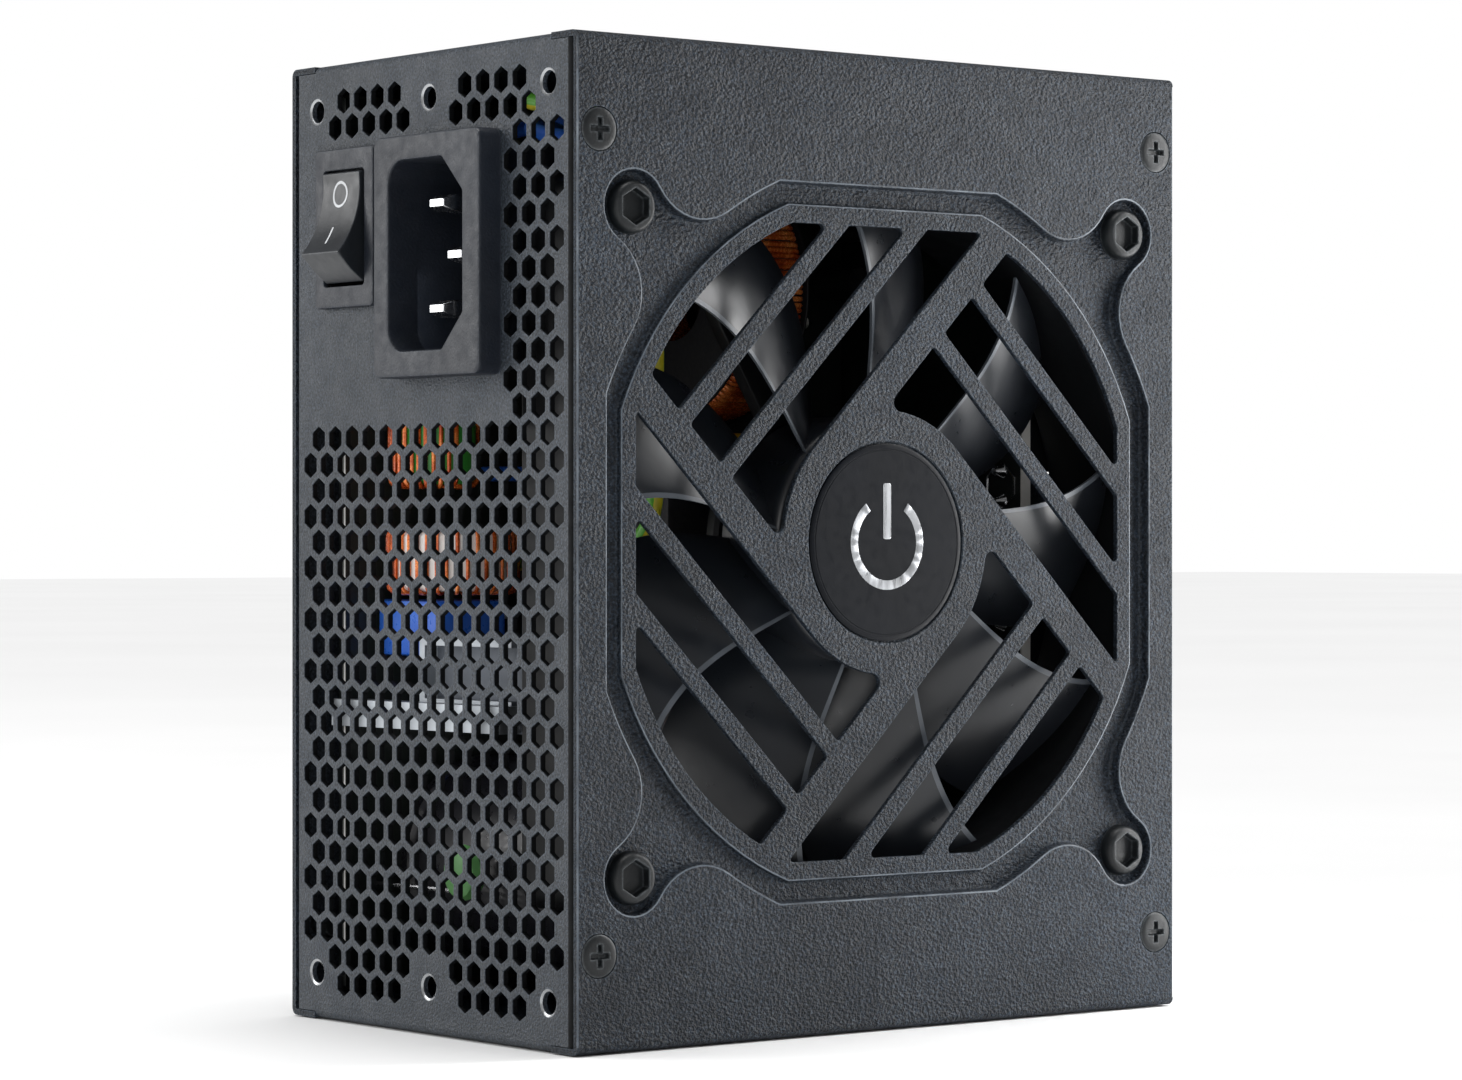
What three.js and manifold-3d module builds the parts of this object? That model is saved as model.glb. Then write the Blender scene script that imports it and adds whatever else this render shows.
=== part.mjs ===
// Small-form-factor computer power supply, 125 x 63.5 x 100 mm. Millimetres, +Z up.
// It stands on one narrow side. The fan face looks along -Y, the mains inlet along -X,
// the output sockets along +X, and the closed base along +Y.
// The origin is the middle of the side that it stands on.
import * as THREE from "three";
import { mergeVertices } from "three/addons/utils/BufferGeometryUtils.js";
import Module from "manifold-3d";

const wasm = await Module();
wasm.setup();

// ---- driving dimensions ----
const LENGTH = 100; // X, rear panel to socket panel
const DEPTH = 63.5; // Y, fan face to base
const HEIGHT = 125; // Z, as it stands
const SHEET = 0.8; // steel sheet
const BEND = 1; // outside radius of a bend in the sheet
const GAP = 0.3; // between pieces that would touch
const SEAM = 0.1; // between sheets that lie on each other

const HALF_X = LENGTH / 2;
const HALF_Y = DEPTH / 2;
const MID_Z = HEIGHT / 2;
const INNER_Y = HALF_Y - SHEET - SEAM; // outside of the end panels, under the covers
const LID_RIM = 5.5; // how far the fan cover folds back along the narrow sides
const LIP = 8; // depth of the end panels' folded lips
const LIP_HALF_Y = HALF_Y - LID_RIM - 0.05; // the lips that show on the narrow sides

const COVER_SCREW = { x: 46.7, rearZ: 50.5, frontZ: 52.5, head: 2.65, shank: 1.5 };

const FAN = { half: 46, screw: 41.25, bore: 44, thick: 15, front: -29.25 };
const FAN_BACK = FAN.front + FAN.thick;
const ROTOR = { hub: 16.3, tip: 43, wall: 1.5, front: -28.4, back: -17.4, blades: 9 };
const SHAFT_RADIUS = 1.5;

// The grille: a raised island inside a recessed band, with a pinwheel of bars.
const BAND = { half: 45.4, round: 48.9, pocket: 4.5, fillet: 8, depth: 1.5 };
const ISLAND = { half: 42.9, round: 45.9, depth: 0.75 };
const WINDOW = { half: 40.45, round: 43.3, corner: 0.6 };
const BAR = { inner: 12.25, outer: 17 }; // the thick bars' offsets from the centre
const SLOTS = [[17, 23.7], [26.2, 33], [35.45, 60]]; // open strips beside each thick bar
const BADGE = { radius: 12.7, recess: 12.95, depth: 0.45, thick: 0.4 };

const VENT = { across: 2.9, pitchY: 3.92, pitchZ: 3.385, rows: 35 };
const MOUNT_HOLE = { y: 25.75, z: 56.5, radius: 1.4 };

const INLET = {
  low: [-15.8, 83.4], high: [7.7, 114.1], proud: 3.4, back: 17,
  cavityLow: [-11.9, 86.8], cavityHigh: [4.3, 110.9], depth: 16,
};
const PIN = { wide: 4, thick: 2.1, tip: 3.3, point: 1.4, lineY: -1.8, earthY: -5.8, pitch: 6.7 };

const SWITCH = { y: 17.8, z: 103.35, bezel: [13.6, 20.7], proud: 1.2, body: [12.4, 18.8], back: 13 };
const ROCKER = { wide: 8.7, pivotX: -HALF_X + 2.56, tilt: 17.4, ridge: [5.55, 6.18], sag: 1.21 };

const BOARD_Y = 24.4; // component side of the main board
const BOARD = 1.6;
const SOCKET_BOARD_X = 39;
const CELL = 4.2; // pitch of the output contacts
const SOCKET = { wall: 0.8, wide: 10.4, low: 41, high: 50.8, floor: 1 };
const BUTTON = { y: -6.5, z: 21, half: 2.4, proud: 2.6 };

// Where the pieces inside stand, as they lie on the main board.
const MAIN_BOARD = { low: [-46.4, 4], high: [38.5, 121] }; // x, z
const SOCKET_EDGE = { low: [-13.6, 8], high: [29, 117] }; // y, z of the socket board
const CANS = { // x, z, radius, height
  bulk_capacitor: [-24, 20, 14, 34],
  output_capacitor_a: [31, 57, 5, 25],
  output_capacitor_b: [31, 71, 5, 25],
};
const TRANSFORMERS = { // x and z of two corners, height
  main_transformer: [-17, 52, 9, 77, 31],
  standby_transformer: [13, 10, 31, 29, 20],
};
const CHOKES = { // axis, centre, inner and outer radius, thickness
  boost_choke: ["x", [-1, 6.5, 96], 7.5, 17.5, 10],
  common_mode_choke: ["z", [-38, 16.2, 74.4], 2.4, 6.3, 10],
  line_choke: ["z", [-36.2, 14.4, 60.1], 3.8, 8.9, 9.2],
};
const FILM_CAPACITOR = [-42.2, 9.7, 47.6, -31, 24.1, 55]; // two corners
const RECTIFIER = [-9, 3, 32.5, 11, 21, 36.2];
const DISC_CAPACITOR = { x: [-43.4, -40.6], y: 3.5, z: 20, radius: 3.6 };
const HEATSINK = { low: -8, high: 22, foot: 2.4, fin: 1 }; // y of a comb, foot and fin thickness
const PRIMARY_COMB = [-26, 37, 11.5, 50, 10]; // x and z of two corners, fins
const SECONDARY_COMB = [12.5, 35, 25, 48, 4];
// The primary heatsink's bar and channel behind the rear panel, as pairs of corners.
const HEATSINK_BAR = [
  [-47.6, -12, 38.4, -46.7, 26, 41.9],
  [-46.8, -12, 38.4, -44.4, 24, 41.9],
  [-44.5, -8, 38.4, -25.5, 9.4, 39.4],
  [-45, -11, 41, -42, 9.4, 42.4],
  [-43, -11, 39.3, -42, 9.4, 50.3],
  [-45, -11, 49.2, -42, 9.4, 50.3],
  [-45, 8.2, 41.2, -42, 9.4, 50.3],
];
const WIRE_RADIUS = 1.1;
const WIRES = { // points from a pin's end to the board
  earth_wire: [[-28.4, -5.8, 98.8], [-25, -8, 104], [-26, -9.5, 111], [-33, -10.5, 116.5], [-41, -11.5, 118.5],
    [-45.4, -16, 117.6], [-44, -22, 116.6], [-37, -25, 117], [-28, -21, 118], [-22.5, -13, 112.5],
    [-21.5, -10.5, 100], [-21.5, -10, 80], [-22, -9.5, 65], [-23, 2, 60], [-24, 23.9, 60]],
  neutral_wire: [[-28.2, -1.8, 105.5], [-27.5, -3.5, 111], [-33, -6, 114.6], [-41, -11, 115], [-45.4, -17, 113.6],
    [-43, -22, 112.6], [-34, -23, 113.2], [-27, -16, 115.5], [-24, -4, 118], [-24, 10, 118], [-24, 23.9, 117]],
  line_wire: [[-28.2, -1.8, 92.1], [-25, 5, 94], [-27, 13, 101], [-31, 17, 105], [-36.4, 17.8, 107]],
  fan_lead: [[36, -13.4, 104], [36, -6, 106], [34.5, 10, 106], [34, 23.9, 106]],
};
const WIRE_COLOURS = {
  earth_wire: 0x7fae2f, neutral_wire: 0x2b59a6, line_wire: 0x6b4226, fan_lead: 0x18181a,
};

// Name, contact columns, centre in Y and Z.
const SOCKETS = [
  ["board_socket_18", 9, -6.5, 92],
  ["board_socket_10", 5, -6.5, 49],
  ["power_socket_8_a", 4, 7, 25],
  ["power_socket_8_b", 4, 7, 50],
  ["power_socket_8_c", 4, 7, 75],
  ["power_socket_8_d", 4, 7, 100],
  ["drive_socket_6_a", 3, 20.5, 37.5],
  ["drive_socket_6_b", 3, 20.5, 62.5],
  ["drive_socket_6_c", 3, 20.5, 87.5],
];

// ---- helpers ----
const radians = THREE.MathUtils.degToRad;

// A closed geometry as a solid that can be joined and cut, turned right side out.
function solid(geometry) {
  const bare = new THREE.BufferGeometry();
  const source = geometry.index ? geometry.toNonIndexed() : geometry;
  bare.setAttribute("position", source.getAttribute("position"));
  const merged = mergeVertices(bare, 1e-4);
  const corners = [...merged.index.array];
  const faces = [];
  for (let i = 0; i < corners.length; i += 3) {
    const [a, b, c] = corners.slice(i, i + 3);
    if (a !== b && b !== c && c !== a) faces.push([a, b, c]);
  }
  const made = (list) => new wasm.Manifold(new wasm.Mesh({
    numProp: 3,
    vertProperties: merged.attributes.position.array,
    triVerts: new Uint32Array(list.flat()),
  }));
  const body = made(faces);
  return body.volume() > 0 ? body : made(faces.map(([a, b, c]) => [a, c, b]));
}

const join = (...solids) => solids.reduce((a, b) => a.add(b));
const cut = (body, ...tools) => tools.reduce((a, b) => a.subtract(b), body);

function arc(u, v, radius, from, to, steps) {
  return Array.from({ length: steps + 1 }, (_, i) => {
    const angle = radians(from + ((to - from) * i) / steps);
    return [u + radius * Math.cos(angle), v + radius * Math.sin(angle)];
  });
}

const circle = (u, v, radius, steps = 16) => arc(u, v, radius, 0, 360, steps).slice(1);
const box = (u0, v0, u1, v1) => [[u0, v0], [u1, v0], [u1, v1], [u0, v1]];

function roundedBox(u0, v0, u1, v1, radius, steps = 3) {
  return [
    ...arc(u1 - radius, v0 + radius, radius, -90, 0, steps),
    ...arc(u1 - radius, v1 - radius, radius, 0, 90, steps),
    ...arc(u0 + radius, v1 - radius, radius, 90, 180, steps),
    ...arc(u0 + radius, v0 + radius, radius, 180, 270, steps),
  ];
}

const toShape = (points) => new THREE.Shape(points.map(([u, v]) => new THREE.Vector2(u, v)));

// Extrudes an outline with holes: (y, z) along X, (x, z) along Y, or (x, y) along Z.
function prism(axis, low, high, outline, holes = []) {
  const shape = toShape(outline);
  shape.holes = holes.map(toShape);
  const geometry = new THREE.ExtrudeGeometry(shape, { depth: high - low, bevelEnabled: false });
  const [x, y, z] = [[1, 0, 0], [0, 1, 0], [0, 0, 1]].map((v) => new THREE.Vector3(...v));
  const place = new THREE.Matrix4();
  if (axis === "x") place.makeBasis(y, z, x).setPosition(low, 0, 0);
  else if (axis === "y") place.makeBasis(x, z, y.clone().negate()).setPosition(0, high, 0);
  else place.setPosition(0, 0, low);
  return solid(geometry.applyMatrix4(place));
}

// A turned piece: profile points are [radius, distance along the axis]. The axis runs along X, Y
// or Z through the given centre.
function turned(axis, centre, profile, steps = 24) {
  const points = profile.map(([radius, along]) => new THREE.Vector2(radius, along));
  const geometry = new THREE.LatheGeometry(points, steps);
  if (axis === "x") geometry.rotateZ(-Math.PI / 2);
  if (axis === "z") geometry.rotateX(Math.PI / 2);
  return solid(geometry.translate(...centre));
}

// A ring with softened edges, centred on its own axis.
function ring(axis, centre, inner, outer, thick, soft, steps = 18) {
  const t = thick / 2;
  const profile = [[inner + soft, -t], [outer - soft, -t], [outer, soft - t], [outer, t - soft],
    [outer - soft, t], [inner + soft, t], [inner, t - soft], [inner, soft - t], [inner + soft, -t]];
  return turned(axis, centre, profile, steps);
}

// A round wire through the points, as one smooth curve.
function wire(points) {
  const extrudePath = new THREE.CatmullRomCurve3(points.map((p) => new THREE.Vector3(...p)));
  const section = toShape(circle(0, 0, WIRE_RADIUS, 6));
  return solid(new THREE.ExtrudeGeometry(section, { steps: 3 * points.length, extrudePath }));
}

const group = new THREE.Group();

function add(name, body, color, roughness, metalness = 0) {
  const { vertProperties, triVerts } = body.getMesh();
  const geometry = new THREE.BufferGeometry();
  geometry.setAttribute("position", new THREE.BufferAttribute(vertProperties, 3));
  geometry.setIndex(new THREE.BufferAttribute(triVerts, 1));
  const mesh = new THREE.Mesh(geometry, new THREE.MeshStandardMaterial({ color, roughness, metalness }));
  mesh.name = name;
  group.add(mesh);
}

const COAT = [0x50555d, 0.55, 0.2]; // slate powder coat
const BLACK_PLASTIC = [0x2c2e31, 0.5];
const FAN_PLASTIC = [0x3a3d42, 0.3];
const SCREW_BLACK = [0x202226, 0.4, 0.6];
const STEEL = [0xb8bcc0, 0.3, 0.9];
const ALUMINIUM = [0xaeb2b6, 0.4, 0.9];
const COPPER = [0xb4662f, 0.35, 0.8];
const BOARD_GREEN = [0x24492f, 0.5];

// ---- sheet-metal case ----
// The places of the cover screws, as [x, z].
function coverScrews() {
  return [-1, 1].flatMap((side) => [
    [-COVER_SCREW.x, MID_Z + side * COVER_SCREW.rearZ],
    [COVER_SCREW.x, MID_Z + side * COVER_SCREW.frontZ],
  ]);
}

// The waste outside a bend: what is cut from a square corner at (u, v) to round it. su and sv
// say which way the corner points.
function bendWaste(u, su, v, sv) {
  const round = arc(0, 0, BEND, 0, 90, 3).map(([a, b]) => [u + su * (a - BEND), v + sv * (b - BEND)]);
  return [...round, [u - su * BEND, v + sv], [u + su, v + sv], [u + su, v - sv * BEND]];
}

const ordered = (a, b) => [Math.min(a, b), Math.max(a, b)];

// An end panel: a plate with two lips that show on the narrow sides and two under the covers.
// The lip under the fan cover is narrow beside the fan and full at the cover screws.
// side is -1 for the rear panel and +1 for the socket panel.
function endPanel(side, holes) {
  const outside = side * HALF_X;
  const deep = outside - side * LIP;
  const beside = outside - side * 3.2;
  const [x0, x1] = ordered(outside, deep);
  const [fanLow, fanHigh] = [MID_Z - FAN.half - 1, MID_Z + FAN.half + 1];
  const [low, high] = [SHEET + SEAM, HEIGHT - SHEET - SEAM];
  const plate = (outline, cuts) => prism("x", ...ordered(outside, outside - side * SHEET), outline, cuts);
  const body = join(
    plate(box(-INNER_Y, low, INNER_Y, high), holes),
    plate(box(-LIP_HALF_Y, 0, LIP_HALF_Y, low + 1)),
    plate(box(-LIP_HALF_Y, high - 1, LIP_HALF_Y, HEIGHT)),
    ...[0, HEIGHT - SHEET].map((z) =>
      prism("z", z, z + SHEET, box(x0, -LIP_HALF_Y, x1, LIP_HALF_Y))),
    prism("y", INNER_Y - SHEET, INNER_Y, box(x0, low, x1, high)),
    prism("y", -INNER_Y, SHEET - INNER_Y, [[outside, low], [deep, low], [deep, fanLow], [beside, fanLow],
      [beside, fanHigh], [deep, fanHigh], [deep, high], [outside, high]]),
  );
  const threads = coverScrews()
    .filter(([x]) => x * side > 0)
    .map(([x, z]) => prism("y", -HALF_Y, HALF_Y, circle(x, z, COVER_SCREW.shank + 0.25, 12)));
  const outerBends = [[0, -1], [HEIGHT, 1]].map(([z, up]) =>
    prism("y", -LIP_HALF_Y - 0.01, LIP_HALF_Y + 0.01, bendWaste(outside, side, z, up)));
  const innerBends = [-1, 1].map((out) =>
    prism("z", low - 1, high + 1, bendWaste(outside, side, out * INNER_Y, out)));
  return cut(body, ...threads, ...outerBends, ...innerBends);
}

const hexagon = (y, z) => arc(y, z, VENT.across / Math.sqrt(3), 30, 330, 5);

function ventHoles() {
  const holes = [];
  for (let row = 0; row < VENT.rows; row++) {
    const last = row % 2 ? 6.5 : 7;
    const edgeRow = row < 2 || row > VENT.rows - 3;
    const besideInlet = row >= 2 && row <= 12;
    for (let k = -last; k <= last; k++) {
      if (edgeRow && (Math.abs(k) < 1.5 || Math.abs(k) > 5.5)) continue;
      if (besideInlet && k > -4.5) continue;
      holes.push(hexagon(k * VENT.pitchY, MID_Z + ((VENT.rows - 1) / 2 - row) * VENT.pitchZ));
    }
  }
  return holes;
}

function rearPanel() {
  const mountHoles = [-1, 0, 1].flatMap((i) => [-1, 1].map((j) =>
    circle(i * MOUNT_HOLE.y, MID_Z + j * MOUNT_HOLE.z, MOUNT_HOLE.radius, 12)));
  const [w, h] = SWITCH.body.map((size) => size / 2 + GAP);
  const inletHole = box(INLET.low[0] + 1.9, INLET.low[1] + 1.3, INLET.high[0] - 1.5, INLET.high[1] - 1.3);
  const switchHole = box(SWITCH.y - w, SWITCH.z - h, SWITCH.y + w, SWITCH.z + h);
  return endPanel(-1, [...ventHoles(), ...mountHoles, inletHole, switchHole]);
}

const socketHalf = (columns) => (columns * CELL + 2 * SOCKET.wall) / 2;

function socketPanel() {
  const w = SOCKET.wide / 2 + GAP;
  const holes = SOCKETS.map(([, columns, y, z]) => {
    const h = socketHalf(columns) + GAP;
    return box(y - w, z - h, y + w, z + h);
  });
  const b = BUTTON.half + GAP;
  return endPanel(1, [...holes, box(BUTTON.y - b, BUTTON.z - b, BUTTON.y + b, BUTTON.z + b)]);
}

// Countersinks for the cover screws, and the bends along a cover's long edges. side is -1 for
// the fan cover and +1 for the base.
function screwSinks(side) {
  const at = (outwards) => side * (HALF_Y + outwards);
  return coverScrews().map(([x, z]) => turned("y", [x, 0, z], [
    [0, at(1)], [COVER_SCREW.head + 1.1, at(1)], [COVER_SCREW.shank + 0.3, at(-1)], [0, at(-1)]], 12));
}

const coverBends = (side) => [[0, -1], [HEIGHT, 1]].map(([z, up]) =>
  prism("x", -HALF_X - 1, HALF_X + 1, bendWaste(side * HALF_Y, side, z, up)));

// A square with round corners, as where a circle cuts a square; grow offsets it outwards.
function bulgedSquare({ half, round }, grow = 0) {
  const h = half + grow;
  const r = round + grow;
  const start = THREE.MathUtils.radToDeg(Math.acos(h / r));
  return [0, 90, 180, 270].flatMap((turn) => arc(0, MID_Z, r, turn + start, turn + 90 - start, 6));
}

// The recessed band's outline: a bulged square with a pocket round each fan screw, joined to it
// by a hollow fillet on each side.
function bandOutline(grow = 0) {
  const toPocket = FAN.screw * Math.SQRT2;
  const toFillet = BAND.round + BAND.fillet;
  const reach = BAND.pocket + BAND.fillet;
  const swing = THREE.MathUtils.radToDeg(
    Math.acos((toFillet ** 2 + toPocket ** 2 - reach ** 2) / (2 * toFillet * toPocket)));
  const start = THREE.MathUtils.radToDeg(Math.acos((BAND.half + grow) / (BAND.round + grow)));
  const near = 45 - swing;
  const centre = arc(0, 0, toFillet, near, near, 1)[0];
  const toward = THREE.MathUtils.radToDeg(Math.atan2(FAN.screw - centre[1], FAN.screw - centre[0]));
  const half = [
    ...arc(0, 0, BAND.round + grow, start, near, 3),
    ...arc(...centre, BAND.fillet - grow, near + 180, toward, 5).slice(1),
    ...arc(FAN.screw, FAN.screw, BAND.pocket + grow, toward - 180, 45, 4).slice(1),
  ];
  const corner = [...half, ...half.slice(0, -1).reverse().map(([u, v]) => [v, u])];
  return [[1, 0], [0, 1], [-1, 0], [0, -1]].flatMap(([c, s]) =>
    corner.map(([u, v]) => [c * u - s * v, MID_Z + s * u + c * v]));
}

// Keeps the part of a convex outline where nu * u + nv * v >= limit.
function clip(points, nu, nv, limit) {
  const side = ([u, v]) => nu * u + nv * v - limit;
  return points.flatMap((p, i) => {
    const q = points[(i + 1) % points.length];
    const [a, b] = [side(p), side(q)];
    const kept = a >= 0 ? [p] : [];
    if (a * b < 0) kept.push([p[0] + ((q[0] - p[0]) * a) / (a - b), p[1] + ((q[1] - p[1]) * a) / (a - b)]);
    return kept;
  });
}

// Rounds the sharp corners of an outline.
function softened(points, radius) {
  const sharpest = Math.cos(radians(155));
  return points.flatMap((p, i) => {
    const ends = [points.at(i - 1), points[(i + 1) % points.length]];
    const arms = ends.map(([u, v]) => new THREE.Vector2(u - p[0], v - p[1]));
    const reach = Math.min(...arms.map((arm) => arm.length())) * 0.45;
    arms.forEach((arm) => arm.normalize());
    if (arms[0].dot(arms[1]) < sharpest) return [p];
    const half = Math.acos(arms[0].dot(arms[1])) / 2;
    const tangent = Math.min(radius / Math.tan(half), reach);
    const inset = (tangent * Math.tan(half)) * (1 / Math.sin(half) - 1);
    const inwards = arms[0].clone().add(arms[1]).normalize();
    const move = (way, distance) => [p[0] + way.x * distance, p[1] + way.y * distance];
    return [move(arms[0], tangent), move(inwards, inset), move(arms[1], tangent)];
  });
}

// One open strip of the grille, turned by quarter turns. u runs along the thick bar and v away
// from the centre. Beside the hub the first strip follows the hub ring.
function grilleSlot([low, high], quarter) {
  const window = bulgedSquare(WINDOW).map(([u, v]) => [u, v - MID_Z]);
  const diagonal = Math.SQRT1_2;
  const turnedWindow = window.map(([x, z]) => [(x + z) * diagonal, (z - x) * diagonal]);
  let points = clip(clip(clip(turnedWindow, 0, 1, low), 0, -1, -high), 1, 0, -BAR.inner);
  if (low === BAR.outer) {
    const from = 180 - THREE.MathUtils.radToDeg(Math.acos(BAR.inner / BAR.outer));
    const besideHub = arc(0, 0, BAR.outer, from, 90, 5);
    const isInnerCorner = ([u, v]) => Math.hypot(u + BAR.inner, v - low) < 1e-6;
    points = points.flatMap((p) => (isInnerCorner(p) ? besideHub : [p]));
  }
  const turn = radians(45 - 90 * quarter);
  return softened(points, WINDOW.corner).map(([u, v]) => [
    u * Math.cos(turn) - v * Math.sin(turn),
    MID_Z + u * Math.sin(turn) + v * Math.cos(turn),
  ]);
}

function fanCover() {
  const face = -HALF_Y;
  const floor = face + BAND.depth;
  const island = floor - ISLAND.depth;
  const under = floor + SHEET;
  const outer = bandOutline();
  const wall = bandOutline(SHEET);
  const inner = bulgedSquare(ISLAND, -SHEET);
  const slots = [0, 1, 2, 3].flatMap((quarter) => SLOTS.map((strip) => grilleSlot(strip, quarter)));
  const body = join(
    prism("y", face, face + SHEET, box(-HALF_X, 0, HALF_X, HEIGHT), [outer]),
    prism("y", face, under, wall, [outer]),
    prism("y", floor, under, wall, [inner]),
    prism("y", island, under, bulgedSquare(ISLAND), [inner]),
    prism("y", island, island + SHEET, bulgedSquare(ISLAND), slots),
    ...[0, HEIGHT - SHEET].map((low) =>
      prism("z", low, low + SHEET, box(-HALF_X, face, HALF_X, face + LID_RIM - SEAM))),
  );
  const fanHoles = fanScrews().map(([x, z]) => prism("y", face, 0, circle(x, z, 2.3, 10)));
  const recess = prism("y", face, island + BADGE.depth, circle(0, MID_Z, BADGE.recess, 36));
  return cut(body, ...fanHoles, ...screwSinks(-1), ...coverBends(-1), recess);
}

function baseCover() {
  const wallFrom = -HALF_Y + LID_RIM + SEAM;
  const wall = (low) => cut(
    prism("z", low, low + SHEET, box(-HALF_X, wallFrom, HALF_X, HALF_Y)),
    ...[-1, 1].map((side) => prism("z", low - 1, low + SHEET + 1, box(
      Math.min(side * (HALF_X - LIP - GAP), side * (HALF_X + 1)), wallFrom - 1,
      Math.max(side * (HALF_X - LIP - GAP), side * (HALF_X + 1)), LIP_HALF_Y + SEAM))));
  const plate = prism("y", HALF_Y - SHEET, HALF_Y, box(-HALF_X, 0, HALF_X, HEIGHT));
  const standoffs = boardScrews().map(([x, z]) => turned("y", [x, 0, z], [
    [0, HALF_Y - SHEET / 2], [3.2, HALF_Y - SHEET / 2], [2.6, BOARD_Y + BOARD + SEAM],
    [0, BOARD_Y + BOARD + SEAM]], 12));
  return cut(join(plate, wall(0), wall(HEIGHT - SHEET), ...standoffs), ...screwSinks(1), ...coverBends(1));
}

// ---- fasteners ----
const fanScrews = () => [[-1, 1], [1, 1], [-1, -1], [1, -1]].map(([i, j]) =>
  [i * FAN.screw, MID_Z + j * FAN.screw]);

const cross = (x, z, reach, half) => [
  [x - reach, z - half], [x - half, z - half], [x - half, z - reach], [x + half, z - reach],
  [x + half, z - half], [x + reach, z - half], [x + reach, z + half], [x + half, z + half],
  [x + half, z + reach], [x - half, z + reach], [x - half, z + half], [x - reach, z + half],
];

// A countersunk cover screw; side is -1 on the fan face and +1 on the base.
function coverScrew(side, x, z) {
  const face = side * HALF_Y;
  const at = (inwards) => face - side * inwards;
  const profile = [[0, at(-0.25)], [COVER_SCREW.head - 0.6, at(-0.15)], [COVER_SCREW.head, at(0.05)],
    [COVER_SCREW.shank, at(1)], [COVER_SCREW.shank, at(5)], [0, at(5)]];
  const body = turned("y", [x, 0, z], profile, 10);
  const recess = [at(-1), at(0.8)].sort((a, b) => a - b);
  return cut(body, prism("y", ...recess, cross(x, z, 1.4, 0.33)));
}

// A button-head fan screw with a hexagon socket.
function fanScrew(x, z) {
  const seat = -HALF_Y + BAND.depth - 0.05;
  const body = turned("y", [x, 0, z], [[0, seat - 1.8], [2.5, seat - 1.8], [3.1, seat - 1.4],
    [3.35, seat - 0.7], [3.35, seat], [1.9, seat], [1.9, seat + 11], [0, seat + 11]], 12);
  return cut(body, prism("y", seat - 3, seat - 0.5, arc(x, z, 2.3, 30, 330, 5)));
}

// ---- mains inlet and switch ----
function inletCavity(shrink = 0) {
  const [y0, z0] = INLET.cavityLow.map((v) => v + shrink);
  const [y1, z1] = INLET.cavityHigh.map((v) => v - shrink);
  const chamfer = 4.5;
  return [[y0 + chamfer, z0], ...arc(y1 - 3, z0 + 3, 3, -90, 0, 4), ...arc(y1 - 3, z1 - 3, 3, 0, 90, 4),
    [y0 + chamfer, z1], [y0, z1 - chamfer], [y0, z0 + chamfer]];
}

const pinPlaces = () => {
  const z = (INLET.cavityLow[1] + INLET.cavityHigh[1]) / 2;
  return {
    inlet_pin_neutral: [PIN.lineY, z + PIN.pitch],
    inlet_pin_earth: [PIN.earthY, z],
    inlet_pin_line: [PIN.lineY, z - PIN.pitch],
  };
};

function inletBody() {
  const front = -HALF_X - INLET.proud;
  const flange = prism("x", front, -HALF_X - SEAM / 2,
    roundedBox(...INLET.low, ...INLET.high, 1, 2));
  const shell = prism("x", front + 1, -HALF_X + INLET.back, box(
    INLET.low[0] + 2.2, INLET.low[1] + 1.6, INLET.high[0] - 1.8, INLET.high[1] - 1.6));
  const cavity = prism("x", front - 1, front + INLET.depth, inletCavity());
  const slots = Object.values(pinPlaces()).map(([y, z]) => prism("x", front + 4, 0, box(
    y - PIN.wide / 2 - 0.15, z - PIN.thick / 2 - 0.15, y + PIN.wide / 2 + 0.15, z + PIN.thick / 2 + 0.15)));
  return cut(join(flange, shell), cavity, ...slots);
}

function inletPin(y, z) {
  const tip = -HALF_X - INLET.proud + PIN.tip;
  const end = -HALF_X + INLET.back + 3.5;
  const half = PIN.thick / 2;
  return prism("y", y - PIN.wide / 2, y + PIN.wide / 2, [
    [tip, z - half / 2], [tip + PIN.point, z - half], [end, z - half], [end, z + half],
    [tip + PIN.point, z + half], [tip, z + half / 2]]);
}

function switchBody() {
  const face = -HALF_X - SWITCH.proud;
  const rect = ([w, h], x0, x1) => prism("x", x0, x1, box(
    SWITCH.y - w / 2, SWITCH.z - h / 2, SWITCH.y + w / 2, SWITCH.z + h / 2));
  const opening = [ROCKER.wide + 0.7, 15.1];
  const well = [ROCKER.wide + 0.7, 17];
  return cut(
    join(rect(SWITCH.bezel, face, -HALF_X - SEAM / 2), rect(SWITCH.body, face + 0.6, -HALF_X + SWITCH.back)),
    rect(opening, face - 1, face + 1),
    rect(well, face + 0.6, -HALF_X + SWITCH.back - 1.5),
    prism("y", SWITCH.y - 5.6, SWITCH.y + 5.6, circle(ROCKER.pivotX, SWITCH.z, 1.05, 12)),
  );
}

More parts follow.
